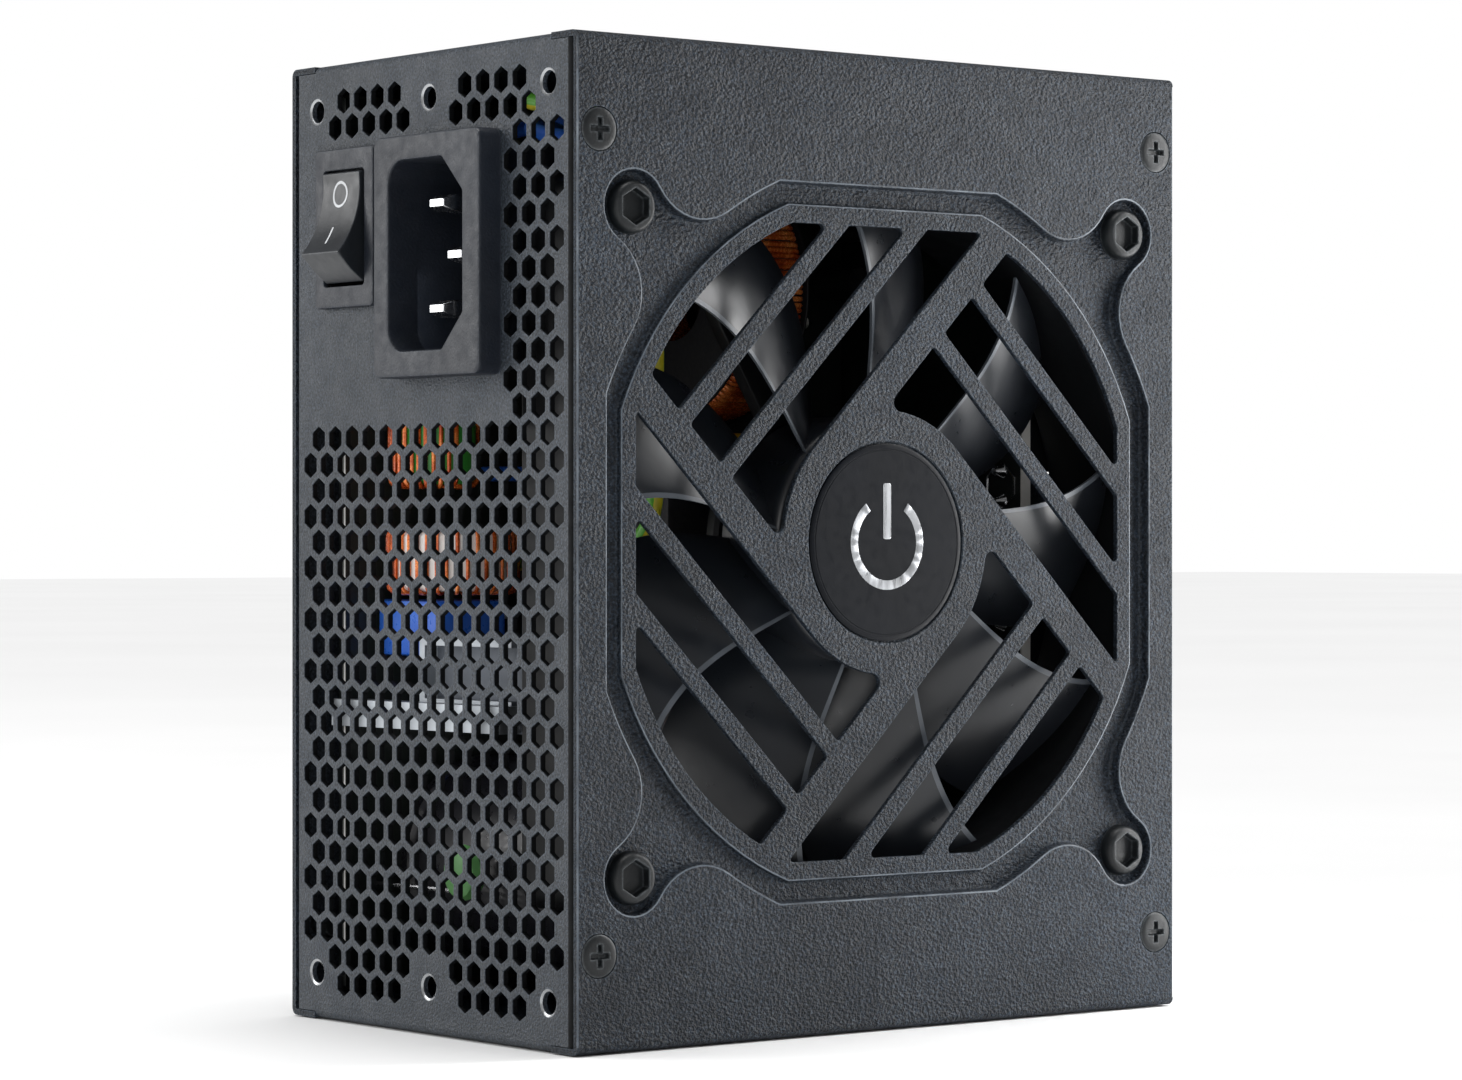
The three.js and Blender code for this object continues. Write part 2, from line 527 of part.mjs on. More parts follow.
// The rocker at rest, with its upper half pressed in. Its hollow face is an arc between two
// ridges, and two short trunnions carry it.
function rocker() {
  const [u, h] = ROCKER.ridge;
  const radius = (u ** 2 + ROCKER.sag ** 2) / (2 * ROCKER.sag);
  const open = THREE.MathUtils.radToDeg(Math.asin(u / radius));
  const face = arc(0, h - ROCKER.sag + radius, radius, 270 - open, 270 + open, 8);
  const section = [...face, [7.85, 1.3], [6.9, -0.6], [3.5, -2.2], [-3.5, -2.2], [-6.9, -0.6], [-7.85, 1.3]];
  const tilt = radians(ROCKER.tilt);
  const placed = section.map(([along, out]) => [
    ROCKER.pivotX - (out * Math.cos(tilt) - along * Math.sin(tilt)),
    SWITCH.z + along * Math.cos(tilt) + out * Math.sin(tilt),
  ]);
  const half = ROCKER.wide / 2;
  return join(
    prism("y", SWITCH.y - half, SWITCH.y + half, placed),
    prism("y", SWITCH.y - half - 0.95, SWITCH.y + half + 0.95, circle(ROCKER.pivotX, SWITCH.z, 0.9, 12)),
  );
}

// ---- fan ----
function fanFrame() {
  const bore = circle(0, MID_Z, FAN.bore, 40);
  const square = roundedBox(-FAN.half, MID_Z - FAN.half, FAN.half, MID_Z + FAN.half, 3.5, 3);
  const holes = fanScrews().map(([x, z]) => circle(x, z, 2.2, 8));
  return prism("y", FAN.front, FAN_BACK, square, [bore, ...holes]);
}

// The motor base and its four struts, which end just inside the frame's bore.
function fanSpider() {
  const base = FAN_BACK - 2.4;
  const strut = (turn) => prism("y", base, FAN_BACK, [[15, -2], [42.8, 3.6], [42.8, 7.6], [15, 2]].map(
    ([u, v]) => [u * Math.cos(turn) - v * Math.sin(turn), MID_Z + u * Math.sin(turn) + v * Math.cos(turn)]));
  return join(
    prism("y", base, FAN_BACK, circle(0, MID_Z, 16.8, 16)),
    ...[0, 1, 2, 3].map((i) => strut(radians(90 * i + 20))),
  );
}

// One fan blade: a thin swept surface from the hub to the tip. Its leading edge is in front.
function blade(phase) {
  const [stations, chords, thick] = [5, 3, 1.1];
  const front = ROTOR.front + 0.6;
  const deep = ROTOR.back - 0.8 - front;
  const position = [];
  for (const side of [-0.5, 0.5]) {
    for (let i = 0; i <= stations; i++) {
      const r = ROTOR.hub - 1 + ((ROTOR.tip - ROTOR.hub + 1) * i) / stations;
      const lead = phase + 4 * ((r - 29) / 13) ** 2;
      const sweep = 36 - (9 * (r - ROTOR.hub)) / (ROTOR.tip - ROTOR.hub);
      for (let j = 0; j <= chords; j++) {
        const s = j / chords;
        const angle = radians(lead - sweep * s);
        position.push(r * Math.cos(angle), front + deep * s * (0.8 + 0.2 * s) + side * thick,
          MID_Z + r * Math.sin(angle));
      }
    }
  }
  const index = [];
  const row = chords + 1;
  const sheet = row * (stations + 1);
  const quad = (a, b, c, d) => index.push(a, b, c, a, c, d);
  for (let i = 0; i < stations; i++) {
    for (let j = 0; j < chords; j++) {
      const a = i * row + j;
      quad(a, a + row, a + row + 1, a + 1);
      quad(sheet + a, sheet + a + 1, sheet + a + row + 1, sheet + a + row);
    }
    for (const a of [i * row, i * row + chords]) {
      const flip = a % row === 0;
      quad(...(flip ? [a, sheet + a, sheet + a + row, a + row] : [a, a + row, sheet + a + row, sheet + a]));
    }
  }
  for (let j = 0; j < chords; j++) {
    const b = stations * row + j;
    quad(j, j + 1, sheet + j + 1, sheet + j);
    quad(b, sheet + b, sheet + b + 1, b + 1);
  }
  const geometry = new THREE.BufferGeometry();
  geometry.setAttribute("position", new THREE.Float32BufferAttribute(position, 3));
  geometry.setIndex(index);
  return solid(geometry);
}

function fanRotor() {
  const { hub, wall, front, back, blades } = ROTOR;
  const cup = turned("y", [0, 0, MID_Z], [[0, front], [hub - 1, front], [hub, front + 1], [hub, back],
    [hub - wall, back], [hub - wall, front + wall], [3, front + wall], [3, front + 3.4],
    [SHAFT_RADIUS + 0.1, front + 3.4], [SHAFT_RADIUS + 0.1, front + 1.6], [0, front + 1.6]], 24);
  return join(cup, ...Array.from({ length: blades }, (_, i) => blade(90 + (360 / blades) * i)));
}

function fanStator() {
  const body = prism("y", -24.2, -18.6, circle(0, MID_Z, 12.3, 24), [circle(0, MID_Z, SHAFT_RADIUS + 0.1, 16)]);
  const slots = [45, 135, 225, 315].map((angle) => {
    const [c, s] = [Math.cos(radians(angle)), Math.sin(radians(angle))];
    return prism("y", -25, -18, [[7, -1], [13, -1], [13, 1], [7, 1]].map(([u, v]) =>
      [u * c - v * s, MID_Z + u * s + v * c]));
  });
  return cut(body, ...slots);
}

// ---- circuit boards and the pieces on them ----
const boardScrews = () => [[-38, 9], [-38, 88], [32, 9], [32, 116]];
const STAND = BOARD_Y - GAP; // where components stand on the main board

const block = (x0, y0, z0, x1, y1, z1) => prism("y", y0, y1, box(x0, z0, x1, z1));

const mainBoard = () => prism("y", BOARD_Y, BOARD_Y + BOARD, box(...MAIN_BOARD.low, ...MAIN_BOARD.high),
  boardScrews().map(([x, z]) => circle(x, z, 1.7, 8)));

const insulationSheet = () => prism("y", 29.4, 29.7, box(-43.4, 3, 38, 122),
  boardScrews().map(([x, z]) => circle(x, z, 4, 8)));

function canCapacitor(x, z, radius, height) {
  const top = STAND - height;
  return turned("y", [x, 0, z], [[0, top], [radius - 0.8, top], [radius, top + 0.8],
    [radius, STAND - 3], [radius - 0.7, STAND - 2.4], [radius, STAND - 1.8], [radius, STAND], [0, STAND]], 16);
}

function transformer(x0, z0, x1, z1, height) {
  const [midX, top] = [(x0 + x1) / 2, STAND - height];
  return join(
    block(x0, top, z0 + 4, x1, STAND - 4, z1 - 4),
    block(midX - (x1 - x0) * 0.32, top + 3, z0, midX + (x1 - x0) * 0.32, STAND - 5, z1),
    block(x0, STAND - 5, z0 + 1, x1, STAND, z1 - 1),
  );
}

// A comb of fins on a base plate: the plate runs along X at z0 and the fins rise along +Z.
function comb(x0, z0, x1, z1, fins) {
  const { low, high, foot, fin } = HEATSINK;
  const blades = Array.from({ length: fins }, (_, i) => {
    const x = x0 + ((x1 - x0 - fin) * i) / (fins - 1);
    return block(x, low, z0 + 1, x + fin, high, z1);
  });
  return join(block(x0, low, z0, x1, high, z0 + foot), ...blades);
}

const primaryHeatsink = () => join(comb(...PRIMARY_COMB), ...HEATSINK_BAR.map((corners) => block(...corners)));

function outputSocket(columns, y, z) {
  const [w, h] = [SOCKET.wide / 2, socketHalf(columns)];
  const t = SOCKET.wall;
  return cut(
    prism("x", SOCKET.low, SOCKET.high, box(y - w, z - h, y + w, z + h)),
    prism("x", SOCKET.low + SOCKET.floor, SOCKET.high + 1, box(y - w + t, z - h + t, y + w - t, z + h - t)),
  );
}

function modeButton() {
  const square = (half) => box(BUTTON.y - half, BUTTON.z - half, BUTTON.y + half, BUTTON.z + half);
  return join(
    prism("x", 46, HALF_X + BUTTON.proud, square(BUTTON.half)),
    prism("x", 47.6, 48.8, square(BUTTON.half + 0.9)),
  );
}

function modeSwitch() {
  const square = (half) => box(BUTTON.y - half, BUTTON.z - half, BUTTON.y + half, BUTTON.z + half);
  return cut(prism("x", SOCKET.low, 45.4, square(3.6)), prism("x", 43.6, 46, square(BUTTON.half + 0.2)));
}

// ---- assembly ----
add("rear_panel", rearPanel(), ...COAT);
add("fan_cover", fanCover(), ...COAT);
add("base_cover", baseCover(), ...COAT);
add("socket_panel", socketPanel(), ...COAT);
coverScrews().forEach(([x, z], i) => {
  add(`fan_cover_screw_${i + 1}`, coverScrew(-1, x, z), ...SCREW_BLACK);
  add(`base_cover_screw_${i + 1}`, coverScrew(1, x, z), ...SCREW_BLACK);
});
fanScrews().forEach(([x, z], i) => add(`fan_screw_${i + 1}`, fanScrew(x, z), ...SCREW_BLACK));

add("inlet_body", inletBody(), ...BLACK_PLASTIC);
Object.entries(pinPlaces()).forEach(([name, [y, z]]) => add(name, inletPin(y, z), ...STEEL));
add("switch_body", switchBody(), ...BLACK_PLASTIC);
add("switch_rocker", rocker(), ...BLACK_PLASTIC);

add("fan_frame", fanFrame(), ...FAN_PLASTIC);
add("fan_spider", fanSpider(), ...FAN_PLASTIC);
add("fan_rotor", fanRotor(), ...FAN_PLASTIC);
add("fan_shaft", prism("y", -26.6, FAN_BACK - 2.7, circle(0, MID_Z, SHAFT_RADIUS, 16)), ...STEEL);
add("fan_stator", fanStator(), ...COPPER);
add("fan_magnet_ring", prism("y", -26.5, -17.9, circle(0, MID_Z, 14.5, 24),
  [circle(0, MID_Z, 13, 24)]), 0x35353a, 0.6);
add("grille_badge", prism("y", -HALF_Y + BAND.depth - ISLAND.depth + 0.02,
  -HALF_Y + BAND.depth - ISLAND.depth + 0.02 + BADGE.thick, circle(0, MID_Z, BADGE.radius, 36)),
  0x23272e, 0.4);

add("main_board", mainBoard(), ...BOARD_GREEN);
add("socket_board", prism("x", SOCKET_BOARD_X, SOCKET_BOARD_X + BOARD,
  box(...SOCKET_EDGE.low, ...SOCKET_EDGE.high)), ...BOARD_GREEN);
add("insulation_sheet", insulationSheet(), 0xd8d4c4, 0.5);
Object.entries(CANS).forEach(([name, can]) => add(name, canCapacitor(...can), 0x34303f, 0.4));
Object.entries(TRANSFORMERS).forEach(([name, corners]) => add(name, transformer(...corners), 0xd7b23a, 0.5));
Object.entries(CHOKES).forEach(([name, sizes]) => add(name, ring(...sizes, 1.5), ...COPPER));
add("film_capacitor", block(...FILM_CAPACITOR), 0x2a5fa8, 0.4);
add("disc_capacitor", prism("x", ...DISC_CAPACITOR.x,
  circle(DISC_CAPACITOR.y, DISC_CAPACITOR.z, DISC_CAPACITOR.radius, 16)), 0x7fb48a, 0.5);
add("bridge_rectifier", block(...RECTIFIER), 0x1f1f22, 0.5);
add("primary_heatsink", primaryHeatsink(), ...ALUMINIUM);
add("secondary_heatsink", comb(...SECONDARY_COMB), ...ALUMINIUM);
Object.entries(WIRES).forEach(([name, points]) => add(name, wire(points), WIRE_COLOURS[name], 0.5));

SOCKETS.forEach(([name, columns, y, z]) => add(name, outputSocket(columns, y, z), ...BLACK_PLASTIC));
add("fan_mode_switch", modeSwitch(), ...BLACK_PLASTIC);
add("fan_mode_button", modeButton(), 0xd9dadb, 0.4);

export default group;
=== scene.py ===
# The looks of a small-form-factor power supply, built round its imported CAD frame.
# Lengths in this script are in millimetres until a mesh is made, when they become metres.
import math
import random

import bmesh
import bpy
from mathutils import Matrix, Vector


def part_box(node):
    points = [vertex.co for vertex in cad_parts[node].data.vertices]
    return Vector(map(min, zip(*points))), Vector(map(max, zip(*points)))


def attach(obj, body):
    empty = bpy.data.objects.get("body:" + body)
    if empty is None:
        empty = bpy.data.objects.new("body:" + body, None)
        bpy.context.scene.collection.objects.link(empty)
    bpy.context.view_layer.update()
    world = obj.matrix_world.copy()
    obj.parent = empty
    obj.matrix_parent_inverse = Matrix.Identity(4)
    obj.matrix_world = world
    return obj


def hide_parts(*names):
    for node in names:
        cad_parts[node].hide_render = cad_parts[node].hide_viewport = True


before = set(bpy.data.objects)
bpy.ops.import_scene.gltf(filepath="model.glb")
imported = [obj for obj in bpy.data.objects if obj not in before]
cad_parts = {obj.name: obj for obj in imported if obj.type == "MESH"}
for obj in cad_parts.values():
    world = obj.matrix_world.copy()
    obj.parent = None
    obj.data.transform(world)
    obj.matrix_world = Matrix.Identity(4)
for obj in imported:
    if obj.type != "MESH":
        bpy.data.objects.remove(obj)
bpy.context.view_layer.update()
MM = 0.001
random.seed(7)


def node_box(node):
    """The lowest and highest corner of a CAD node, in millimetres."""
    return [Vector(corner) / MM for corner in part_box(node)]


# ---- driving dimensions ----
HALF_X, HALF_Y, TOP_Z = node_box("base_cover")[1]
MID_Z = TOP_Z / 2
FAN_CENTRE = (0, 0, MID_Z)
SHEET = 0.8
BEND = 1.0
SEAM = 0.1
INNER_Y = HALF_Y - SHEET - SEAM
LID_RIM = 5.5
LIP = 8.0
LIP_HALF_Y = HALF_Y - LID_RIM - 0.05
FLANGE_SEAT = -HALF_X - 0.06
SINK_RADIUS, SEAT_RADIUS = 2.78, 2.4
BAND_BEHIND, RISE_BEHIND = 0.75, -0.8

BAND = {"half": 45.4, "round": 48.9, "pocket": 4.5, "fillet": 8.0, "depth": 1.5}
ISLAND = {"half": 42.9, "round": 45.9, "depth": 0.75}
WINDOW = {"half": 40.45, "round": 43.3, "corner": 0.55}
HUB_FILLET = 1.2
BAR_INNER, BAR_OUTER = 12.25, 17.0
SLOTS = ((17.0, 23.7), (26.2, 33.0), (35.45, 60.0))
FAN_SCREW = 41.25
BADGE_RADIUS, BADGE_RECESS, BADGE_DEPTH = 12.7, 12.95, 0.45

VENT_ACROSS, VENT_Y, VENT_Z, VENT_ROWS = 2.9, 3.92, 3.385, 35
MOUNT_Y, MOUNT_Z, MOUNT_RADIUS = 25.75, 56.5, 1.4
CELL = 4.2


# ---- camera ----
def add_object(name, data):
    made = bpy.data.objects.new(name, data)
    bpy.context.scene.collection.objects.link(made)
    return made


def make_camera():
    """A level long-lens camera that sees the fan face and the rear panel."""
    camera = add_object("camera", bpy.data.cameras.new("camera"))
    camera.data.lens = 112.53
    camera.data.sensor_width = 36
    camera.location = (-0.3804, -0.4788, 0.0628)
    camera.rotation_euler = (math.radians(90), 0, math.radians(-38.391))
    bpy.context.scene.camera = camera


make_camera()


# ---- outlines ----
def arc(u, v, radius, start, end, steps):
    turns = (math.radians(start + (end - start) * i / steps) for i in range(steps + 1))
    return [(u + radius * math.cos(a), v + radius * math.sin(a)) for a in turns]


def circle(u, v, radius, steps=24):
    return arc(u, v, radius, 0, 360, steps)[:-1]


def box(u0, v0, u1, v1):
    return [(u0, v0), (u1, v0), (u1, v1), (u0, v1)]


def rounded_box(u0, v0, u1, v1, r, steps=5):
    return (arc(u1 - r, v0 + r, r, -90, 0, steps) + arc(u1 - r, v1 - r, r, 0, 90, steps)
            + arc(u0 + r, v1 - r, r, 90, 180, steps) + arc(u0 + r, v0 + r, r, 180, 270, steps))


def bulged_square(shape):
    """A square with round corners, as where a circle cuts a square, about the fan's centre."""
    h, r = shape["half"], shape["round"]
    start = math.degrees(math.acos(h / r))
    return [p for turn in (0, 90, 180, 270) for p in arc(0, MID_Z, r, turn + start,
            turn + 90 - start, 14)]


def band_outline():
    """The recessed band: a bulged square with a pocket round each fan screw."""
    to_pocket = FAN_SCREW * math.sqrt(2)
    to_fillet = BAND["round"] + BAND["fillet"]
    reach = BAND["pocket"] + BAND["fillet"]
    swing = math.degrees(math.acos((to_fillet**2 + to_pocket**2 - reach**2)
            / (2 * to_fillet * to_pocket)))
    start = math.degrees(math.acos(BAND["half"] / BAND["round"]))
    near = 45 - swing
    cu, cv = arc(0, 0, to_fillet, near, near, 1)[0]
    toward = math.degrees(math.atan2(FAN_SCREW - cv, FAN_SCREW - cu))
    half = (arc(0, 0, BAND["round"], start, near, 6)
            + arc(cu, cv, BAND["fillet"], near + 180, toward, 10)[1:]
            + arc(FAN_SCREW, FAN_SCREW, BAND["pocket"], toward - 180, 45, 9)[1:])
    corner = half + [(v, u) for u, v in reversed(half[:-1])]
    turns = ((1, 0), (0, 1), (-1, 0), (0, -1))
    return [(c * u - s * v, MID_Z + s * u + c * v) for c, s in turns for u, v in corner]


def clip(points, nu, nv, limit):
    """Keeps the part of a convex outline where nu * u + nv * v >= limit."""
    kept = []
    for p, q in zip(points, points[1:] + points[:1]):
        a = nu * p[0] + nv * p[1] - limit
        b = nu * q[0] + nv * q[1] - limit
        if a >= 0:
            kept.append(p)
        if a * b < 0:
            t = a / (a - b)
            kept.append((p[0] + (q[0] - p[0]) * t, p[1] + (q[1] - p[1]) * t))
    return kept


def softened(points, radius, steps=4):
    """Rounds the sharp corners of an outline."""
    out = []
    count = len(points)
    for i, p in enumerate(points):
        p = Vector(p)
        arms = [Vector(points[i - 1]) - p, Vector(points[(i + 1) % count]) - p]
        reach = min(arm.length for arm in arms) * 0.45
        arms = [arm.normalized() for arm in arms]
        cosine = arms[0].dot(arms[1])
        if cosine < math.cos(math.radians(155)):
            out.append(tuple(p))
            continue
        half = math.acos(cosine) / 2
        tangent = min(radius / math.tan(half), reach)
        r = tangent * math.tan(half)
        centre = p + (arms[0] + arms[1]).normalized() * (r / math.sin(half))
        a0 = math.atan2(*(p + arms[0] * tangent - centre).yx)
        a1 = math.atan2(*(p + arms[1] * tangent - centre).yx)
        sweep = (a1 - a0 + math.pi) % (2 * math.pi) - math.pi
        out += [tuple(centre + r * Vector((math.cos(a0 + sweep * k / steps),
                math.sin(a0 + sweep * k / steps)))) for k in range(steps + 1)]
    return out


def offset(points, distance):
    """Moves an outline outwards by distance, whichever way round it runs."""
    area = sum(p[0] * q[1] - q[0] * p[1] for p, q in zip(points, points[1:] + points[:1]))
    sign = 1 if area > 0 else -1
    out = []
    count = len(points)
    for i, p in enumerate(points):
        before = (Vector(p) - Vector(points[i - 1])).normalized()
        after = (Vector(points[(i + 1) % count]) - Vector(p)).normalized()
        n = Vector((before.y + after.y, -before.x - after.x)) * sign
        n.normalize()
        out.append((p[0] + n.x * distance, p[1] + n.y * distance))
    return out


def grille_slot(low, high, quarter):
    """One open strip of the pinwheel grille."""
    d = math.sqrt(0.5)
    window = [((x + z - MID_Z) * d, (z - MID_Z - x) * d) for x, z in bulged_square(WINDOW)]
    points = clip(clip(clip(window, 0, 1, low), 0, -1, -high), 1, 0, -BAR_INNER)
    if low == BAR_OUTER:
        u = HUB_FILLET - BAR_INNER
        v = math.sqrt((BAR_OUTER + HUB_FILLET) ** 2 - u * u)
        start = math.degrees(math.atan2(v, u))
        beside_hub = arc(u, v, HUB_FILLET, 180, 180 + start, 8) + arc(0, 0, BAR_OUTER, start, 90,
                10)[1:]
        at_corner = lambda p: math.hypot(p[0] + BAR_INNER, p[1] - low) < 1e-6
        points = [q for p in points for q in (beside_hub if at_corner(p) else [p])]
    a = math.radians(45 - 90 * quarter)
    c, s = math.cos(a), math.sin(a)
    return [(u * c - v * s, MID_Z + u * s + v * c) for u, v in softened(points, WINDOW["corner"])]


# ---- mesh helpers ----
def mesh_and_box(node):
    """A new mesh to draw in, and the node's lowest and highest corner."""
    return bmesh.new(), *node_box(node)


# An outline lies in a plane across an axis: (y, z) across X, (x, z) across Y, (x, y) across Z.
def point(axis, u, v, depth):
    return {"x": (depth, u, v), "y": (u, depth, v), "z": (u, v, depth)}[axis]


def ring_of(axis, outline, depth):
    return [point(axis, u, v, depth) for u, v in outline]


def fill(bm, axis, depth, loops, material=0):
    """A flat face at a depth, made of an outline and its holes."""
    edges = []
    for loop in loops:
        verts = [bm.verts.new(p) for p in ring_of(axis, loop, depth)]
        edges += [bm.edges.new(pair) for pair in zip(verts, verts[1:] + verts[:1])]
    made = bmesh.ops.triangle_fill(bm, edges=edges, use_beauty=True, use_dissolve=False)
    for face in made["geom"]:
        if isinstance(face, bmesh.types.BMFace):
            face.material_index = material


def loft(bm, rings, material=0, closed=True):
    """Quads between successive rings of the same number of points."""
    rows = [[bm.verts.new(p) for p in ring] for ring in rings]
    for low, high in zip(rows, rows[1:]):
        count = len(low)
        for i in range(count if closed else count - 1):
            j = (i + 1) % count
            face = bm.faces.new((low[i], low[j], high[j], high[i]))
            face.material_index = material


def cap(bm, ring, material=0):
    face = bm.faces.new([bm.verts.new(p) for p in ring])
    face.material_index = material


def cap_ends(bm, rings, material=0):
    cap(bm, rings[0], material)
    cap(bm, rings[-1], material)


def walls(bm, axis, outline, profile, material=0):
    """A wall round an outline: profile is a list of (outward offset, depth)."""
    loft(bm, [ring_of(axis, offset(outline, grow) if grow else outline, depth)
            for grow, depth in profile], material)


def finish_mesh(bm, name, materials, body="housing", replaces=(), slot=None, smooth=35, weld=2e-3,
        bevel=None):
    """Makes an object of a mesh drawn in millimetres, and puts it on its CAD body."""
    bmesh.ops.remove_doubles(bm, verts=bm.verts, dist=weld)
    bmesh.ops.recalc_face_normals(bm, faces=bm.faces)
    bmesh.ops.scale(bm, vec=(MM, MM, MM), verts=bm.verts)
    mesh = bpy.data.meshes.new(name)
    bm.to_mesh(mesh)
    bm.free()
    for material in materials if isinstance(materials, (list, tuple)) else [materials]:
        mesh.materials.append(material)
    piece = add_object(name, mesh)
    if bevel:
        modifier = piece.modifiers.new("soft_edges", "BEVEL")
        modifier.width = bevel * MM
        modifier.segments = 2
        modifier.limit_method = "ANGLE"
        modifier.angle_limit = math.radians(40)
    mark_sharp(mesh, smooth)
    if not bevel:
        weighted = piece.modifiers.new("flat_faces_stay_flat", "WEIGHTED_NORMAL")
        weighted.weight = 90
        weighted.keep_sharp = True
    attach(piece, body)
    if replaces:
        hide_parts(*replaces)
    return piece


def stand_in(bm, node, materials, slot, body="housing", **how):
    """Finishes the mesh that is shown in place of one CAD node."""
    return finish_mesh(bm, node + "_fine", materials, body, [node], slot, **how)


def mark_sharp(mesh, angle):
    """Smooth shading with a hard edge wherever two faces turn by more than the angle."""
    bm = bmesh.new()
    bm.from_mesh(mesh)
    for face in bm.faces:
        face.smooth = True
    for edge in bm.edges:
        edge.smooth = len(edge.link_faces) == 2 and edge.calc_face_angle(0) < math.radians(angle)
    bm.to_mesh(mesh)
    bm.free()


def refined(node, materials, bevel=0.25, segments=3, body="housing", slot=None):
    """A copy of a CAD node with merged flat faces and softened edges, which stands for the node."""
    bm = bmesh.new()
    bm.from_mesh(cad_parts[node].data)
    bmesh.ops.remove_doubles(bm, verts=bm.verts, dist=2e-6)
    bmesh.ops.dissolve_limit(bm, angle_limit=math.radians(1), verts=bm.verts, edges=bm.edges)
    bmesh.ops.scale(bm, vec=(1 / MM,) * 3, verts=bm.verts)
    piece = stand_in(bm, node, materials, slot, body, bevel=bevel)
    piece.modifiers["soft_edges"].segments = segments
    piece.modifiers["soft_edges"].harden_normals = True
    return piece


# ---- materials ----
def colour(code):
    """A linear colour from a hexadecimal sRGB one."""
    parts = [int(code[i:i + 2], 16) / 255 for i in (0, 2, 4)]
    return [c / 12.92 if c <= 0.04045 else ((c + 0.055) / 1.055) ** 2.4 for c in parts] + [1]


def material(name, colours, roughness, metallic=0.0, mottle=45, grain=((1500, 0.03),), worn=None,
        coat=0.0, stretch=None, specular=0.5, speckle=None):
    """A procedural finish. colours run across a mottle; grain lists (features per metre, height
    in mm); the edge-wear argument is the colour along rounded edges, partly rubbed and partly a
    painted highlight, and how much of it shows; stretch pulls the pattern out along an axis;
    speckle is a finer pattern of the same colours and its share."""
    made = bpy.data.materials.new(name)
    made.use_nodes = True
    tree = made.node_tree
    shader = tree.nodes["Principled BSDF"]
    shader.inputs["Metallic"].default_value = metallic
    shader.inputs["Coat Weight"].default_value = coat
    shader.inputs["Specular IOR Level"].default_value = specular

    def node(kind, output, links=None, **values):
        """Adds a node, links and fills its inputs by name, and returns one of its outputs."""
        added = tree.nodes.new("ShaderNode" + kind)
        if kind == "VectorMath":
            added.operation = "DOT_PRODUCT"
        elif kind == "Math":
            added.operation = "MULTIPLY"
        for key, source in (links or {}).items():
            tree.links.new(source, added.inputs[key])
        for key, value in values.items():
            added.inputs[key].default_value = value
        return added.outputs[output]

    place = node("TexCoord", "Object")
    if stretch:
        place = node("Mapping", "Vector", {"Vector": place}, Scale=stretch)

    def noise(scale, detail=3.0):
        return node("TexNoise", "Fac", {"Vector": place}, Scale=scale, Detail=detail)

    def mapped(value, low, high, to_low, to_high):
        limits = {"From Min": low, "From Max": high, "To Min": to_low, "To Max": to_high}
        return node("MapRange", "Result", {"Value": value}, **limits)

    pattern = noise(mottle)
    if speckle:
        pattern = node("Mix", "Result", {"A": pattern, "B": noise(speckle[0], 1.5)},
                Factor=speckle[1])
    shade = node("ValToRGB", "Color", {"Fac": pattern})
    stops = shade.node.color_ramp.elements
    dark_end, pale_end = 0.32, 0.68
    stops[0].position, stops[1].position = dark_end, pale_end
    stops[0].color, stops[1].color = colour(colours[0]), colour(colours[-1])
    for i, code in enumerate(colours[1:-1]):
        share = (i + 1) / (len(colours) - 1)
        stops.new(dark_end + (pale_end - dark_end) * share).color = colour(code)
    rough = mapped(noise(mottle * 9), 0.3, 0.7, *roughness)
    # Rounded edges turn lighter, partly wear and partly a painted highlight.
    if worn:
        rounded = node("Bevel", "Normal", Radius=0.45 * MM)
        facing = node("VectorMath", "Value", {0: rounded, 1: node("NewGeometry", "Normal")})
        edge = mapped(facing, 0.995, 0.9, 0, worn[1])
        broken = node("Math", "Value", {0: edge, 1: mapped(noise(mottle * 14), 0.35, 0.6, 0.35, 1)})
        worn_and_lit_edges = tree.nodes.new("ShaderNodeMix")
        worn_and_lit_edges.data_type = "RGBA"
        tree.links.new(broken, worn_and_lit_edges.inputs["Factor"])
        tree.links.new(shade, worn_and_lit_edges.inputs["A"])
        worn_and_lit_edges.inputs["B"].default_value = colour(worn[0])
        shade = worn_and_lit_edges.outputs["Result"]
    tree.links.new(shade, shader.inputs["Base Color"])
    tree.links.new(rough, shader.inputs["Roughness"])
    normal = {}
    for scale, height in grain:
        normal = {"Normal": node("Bump", "Normal", {"Height": noise(scale, 2.0), **normal},
                Distance=height * MM)}
    tree.links.new(normal["Normal"], shader.inputs["Normal"])
    return made


def plain(name, colours, roughness, mottle, scale, height, **more):
    """A finish that isn't metal, with one size of grain."""
    return material(name, colours, roughness, mottle=mottle, grain=((scale, height),), **more)


def insulation(name, *colours):
    """The plain plastic round a wire."""
    return plain(name, colours, (0.35, 0.5), 150, 900, 0.02)


# The lighter edge colours given to finishes below are partly wear and partly a painted highlight.
COAT = material("slate_powder_coat", ("0a0e13", "1a2028", "323d4a"), (0.42, 0.58), mottle=30,
        grain=((2100, 0.5), (4400, 0.06)), worn=("5d6873", 0.4), specular=0.3, speckle=(2700, 0.75),
        stretch=(1, 1, 1.25))
PANEL_COAT = material("fine_powder_coat", ("1c2126", "2d333a", "424a55"), (0.42, 0.6), mottle=34,
        grain=((2800, 0.22), (5200, 0.04)), worn=("5d6670", 0.4), specular=0.42,
        speckle=(3000, 0.85))
# A lighter coat for the crests and rims of the fan cover, a painted highlight.
RIM_HIGHLIGHT = material("painted_rim_highlight", ("363d45", "515a64", "6e7780"), (0.35, 0.5), mottle=200,
        grain=((2400, 0.08),))
HOLE_SHADE = plain("shaded_coat", ("08090b", "0c0e11"), (0.6, 0.8), 60, 2600, 0.03, specular=0.2)
BARE_STEEL = material("bare_steel", ("9a9da0", "c4c6c8"), (0.22, 0.4), 1.0, 120, ((2600, 0.01),))
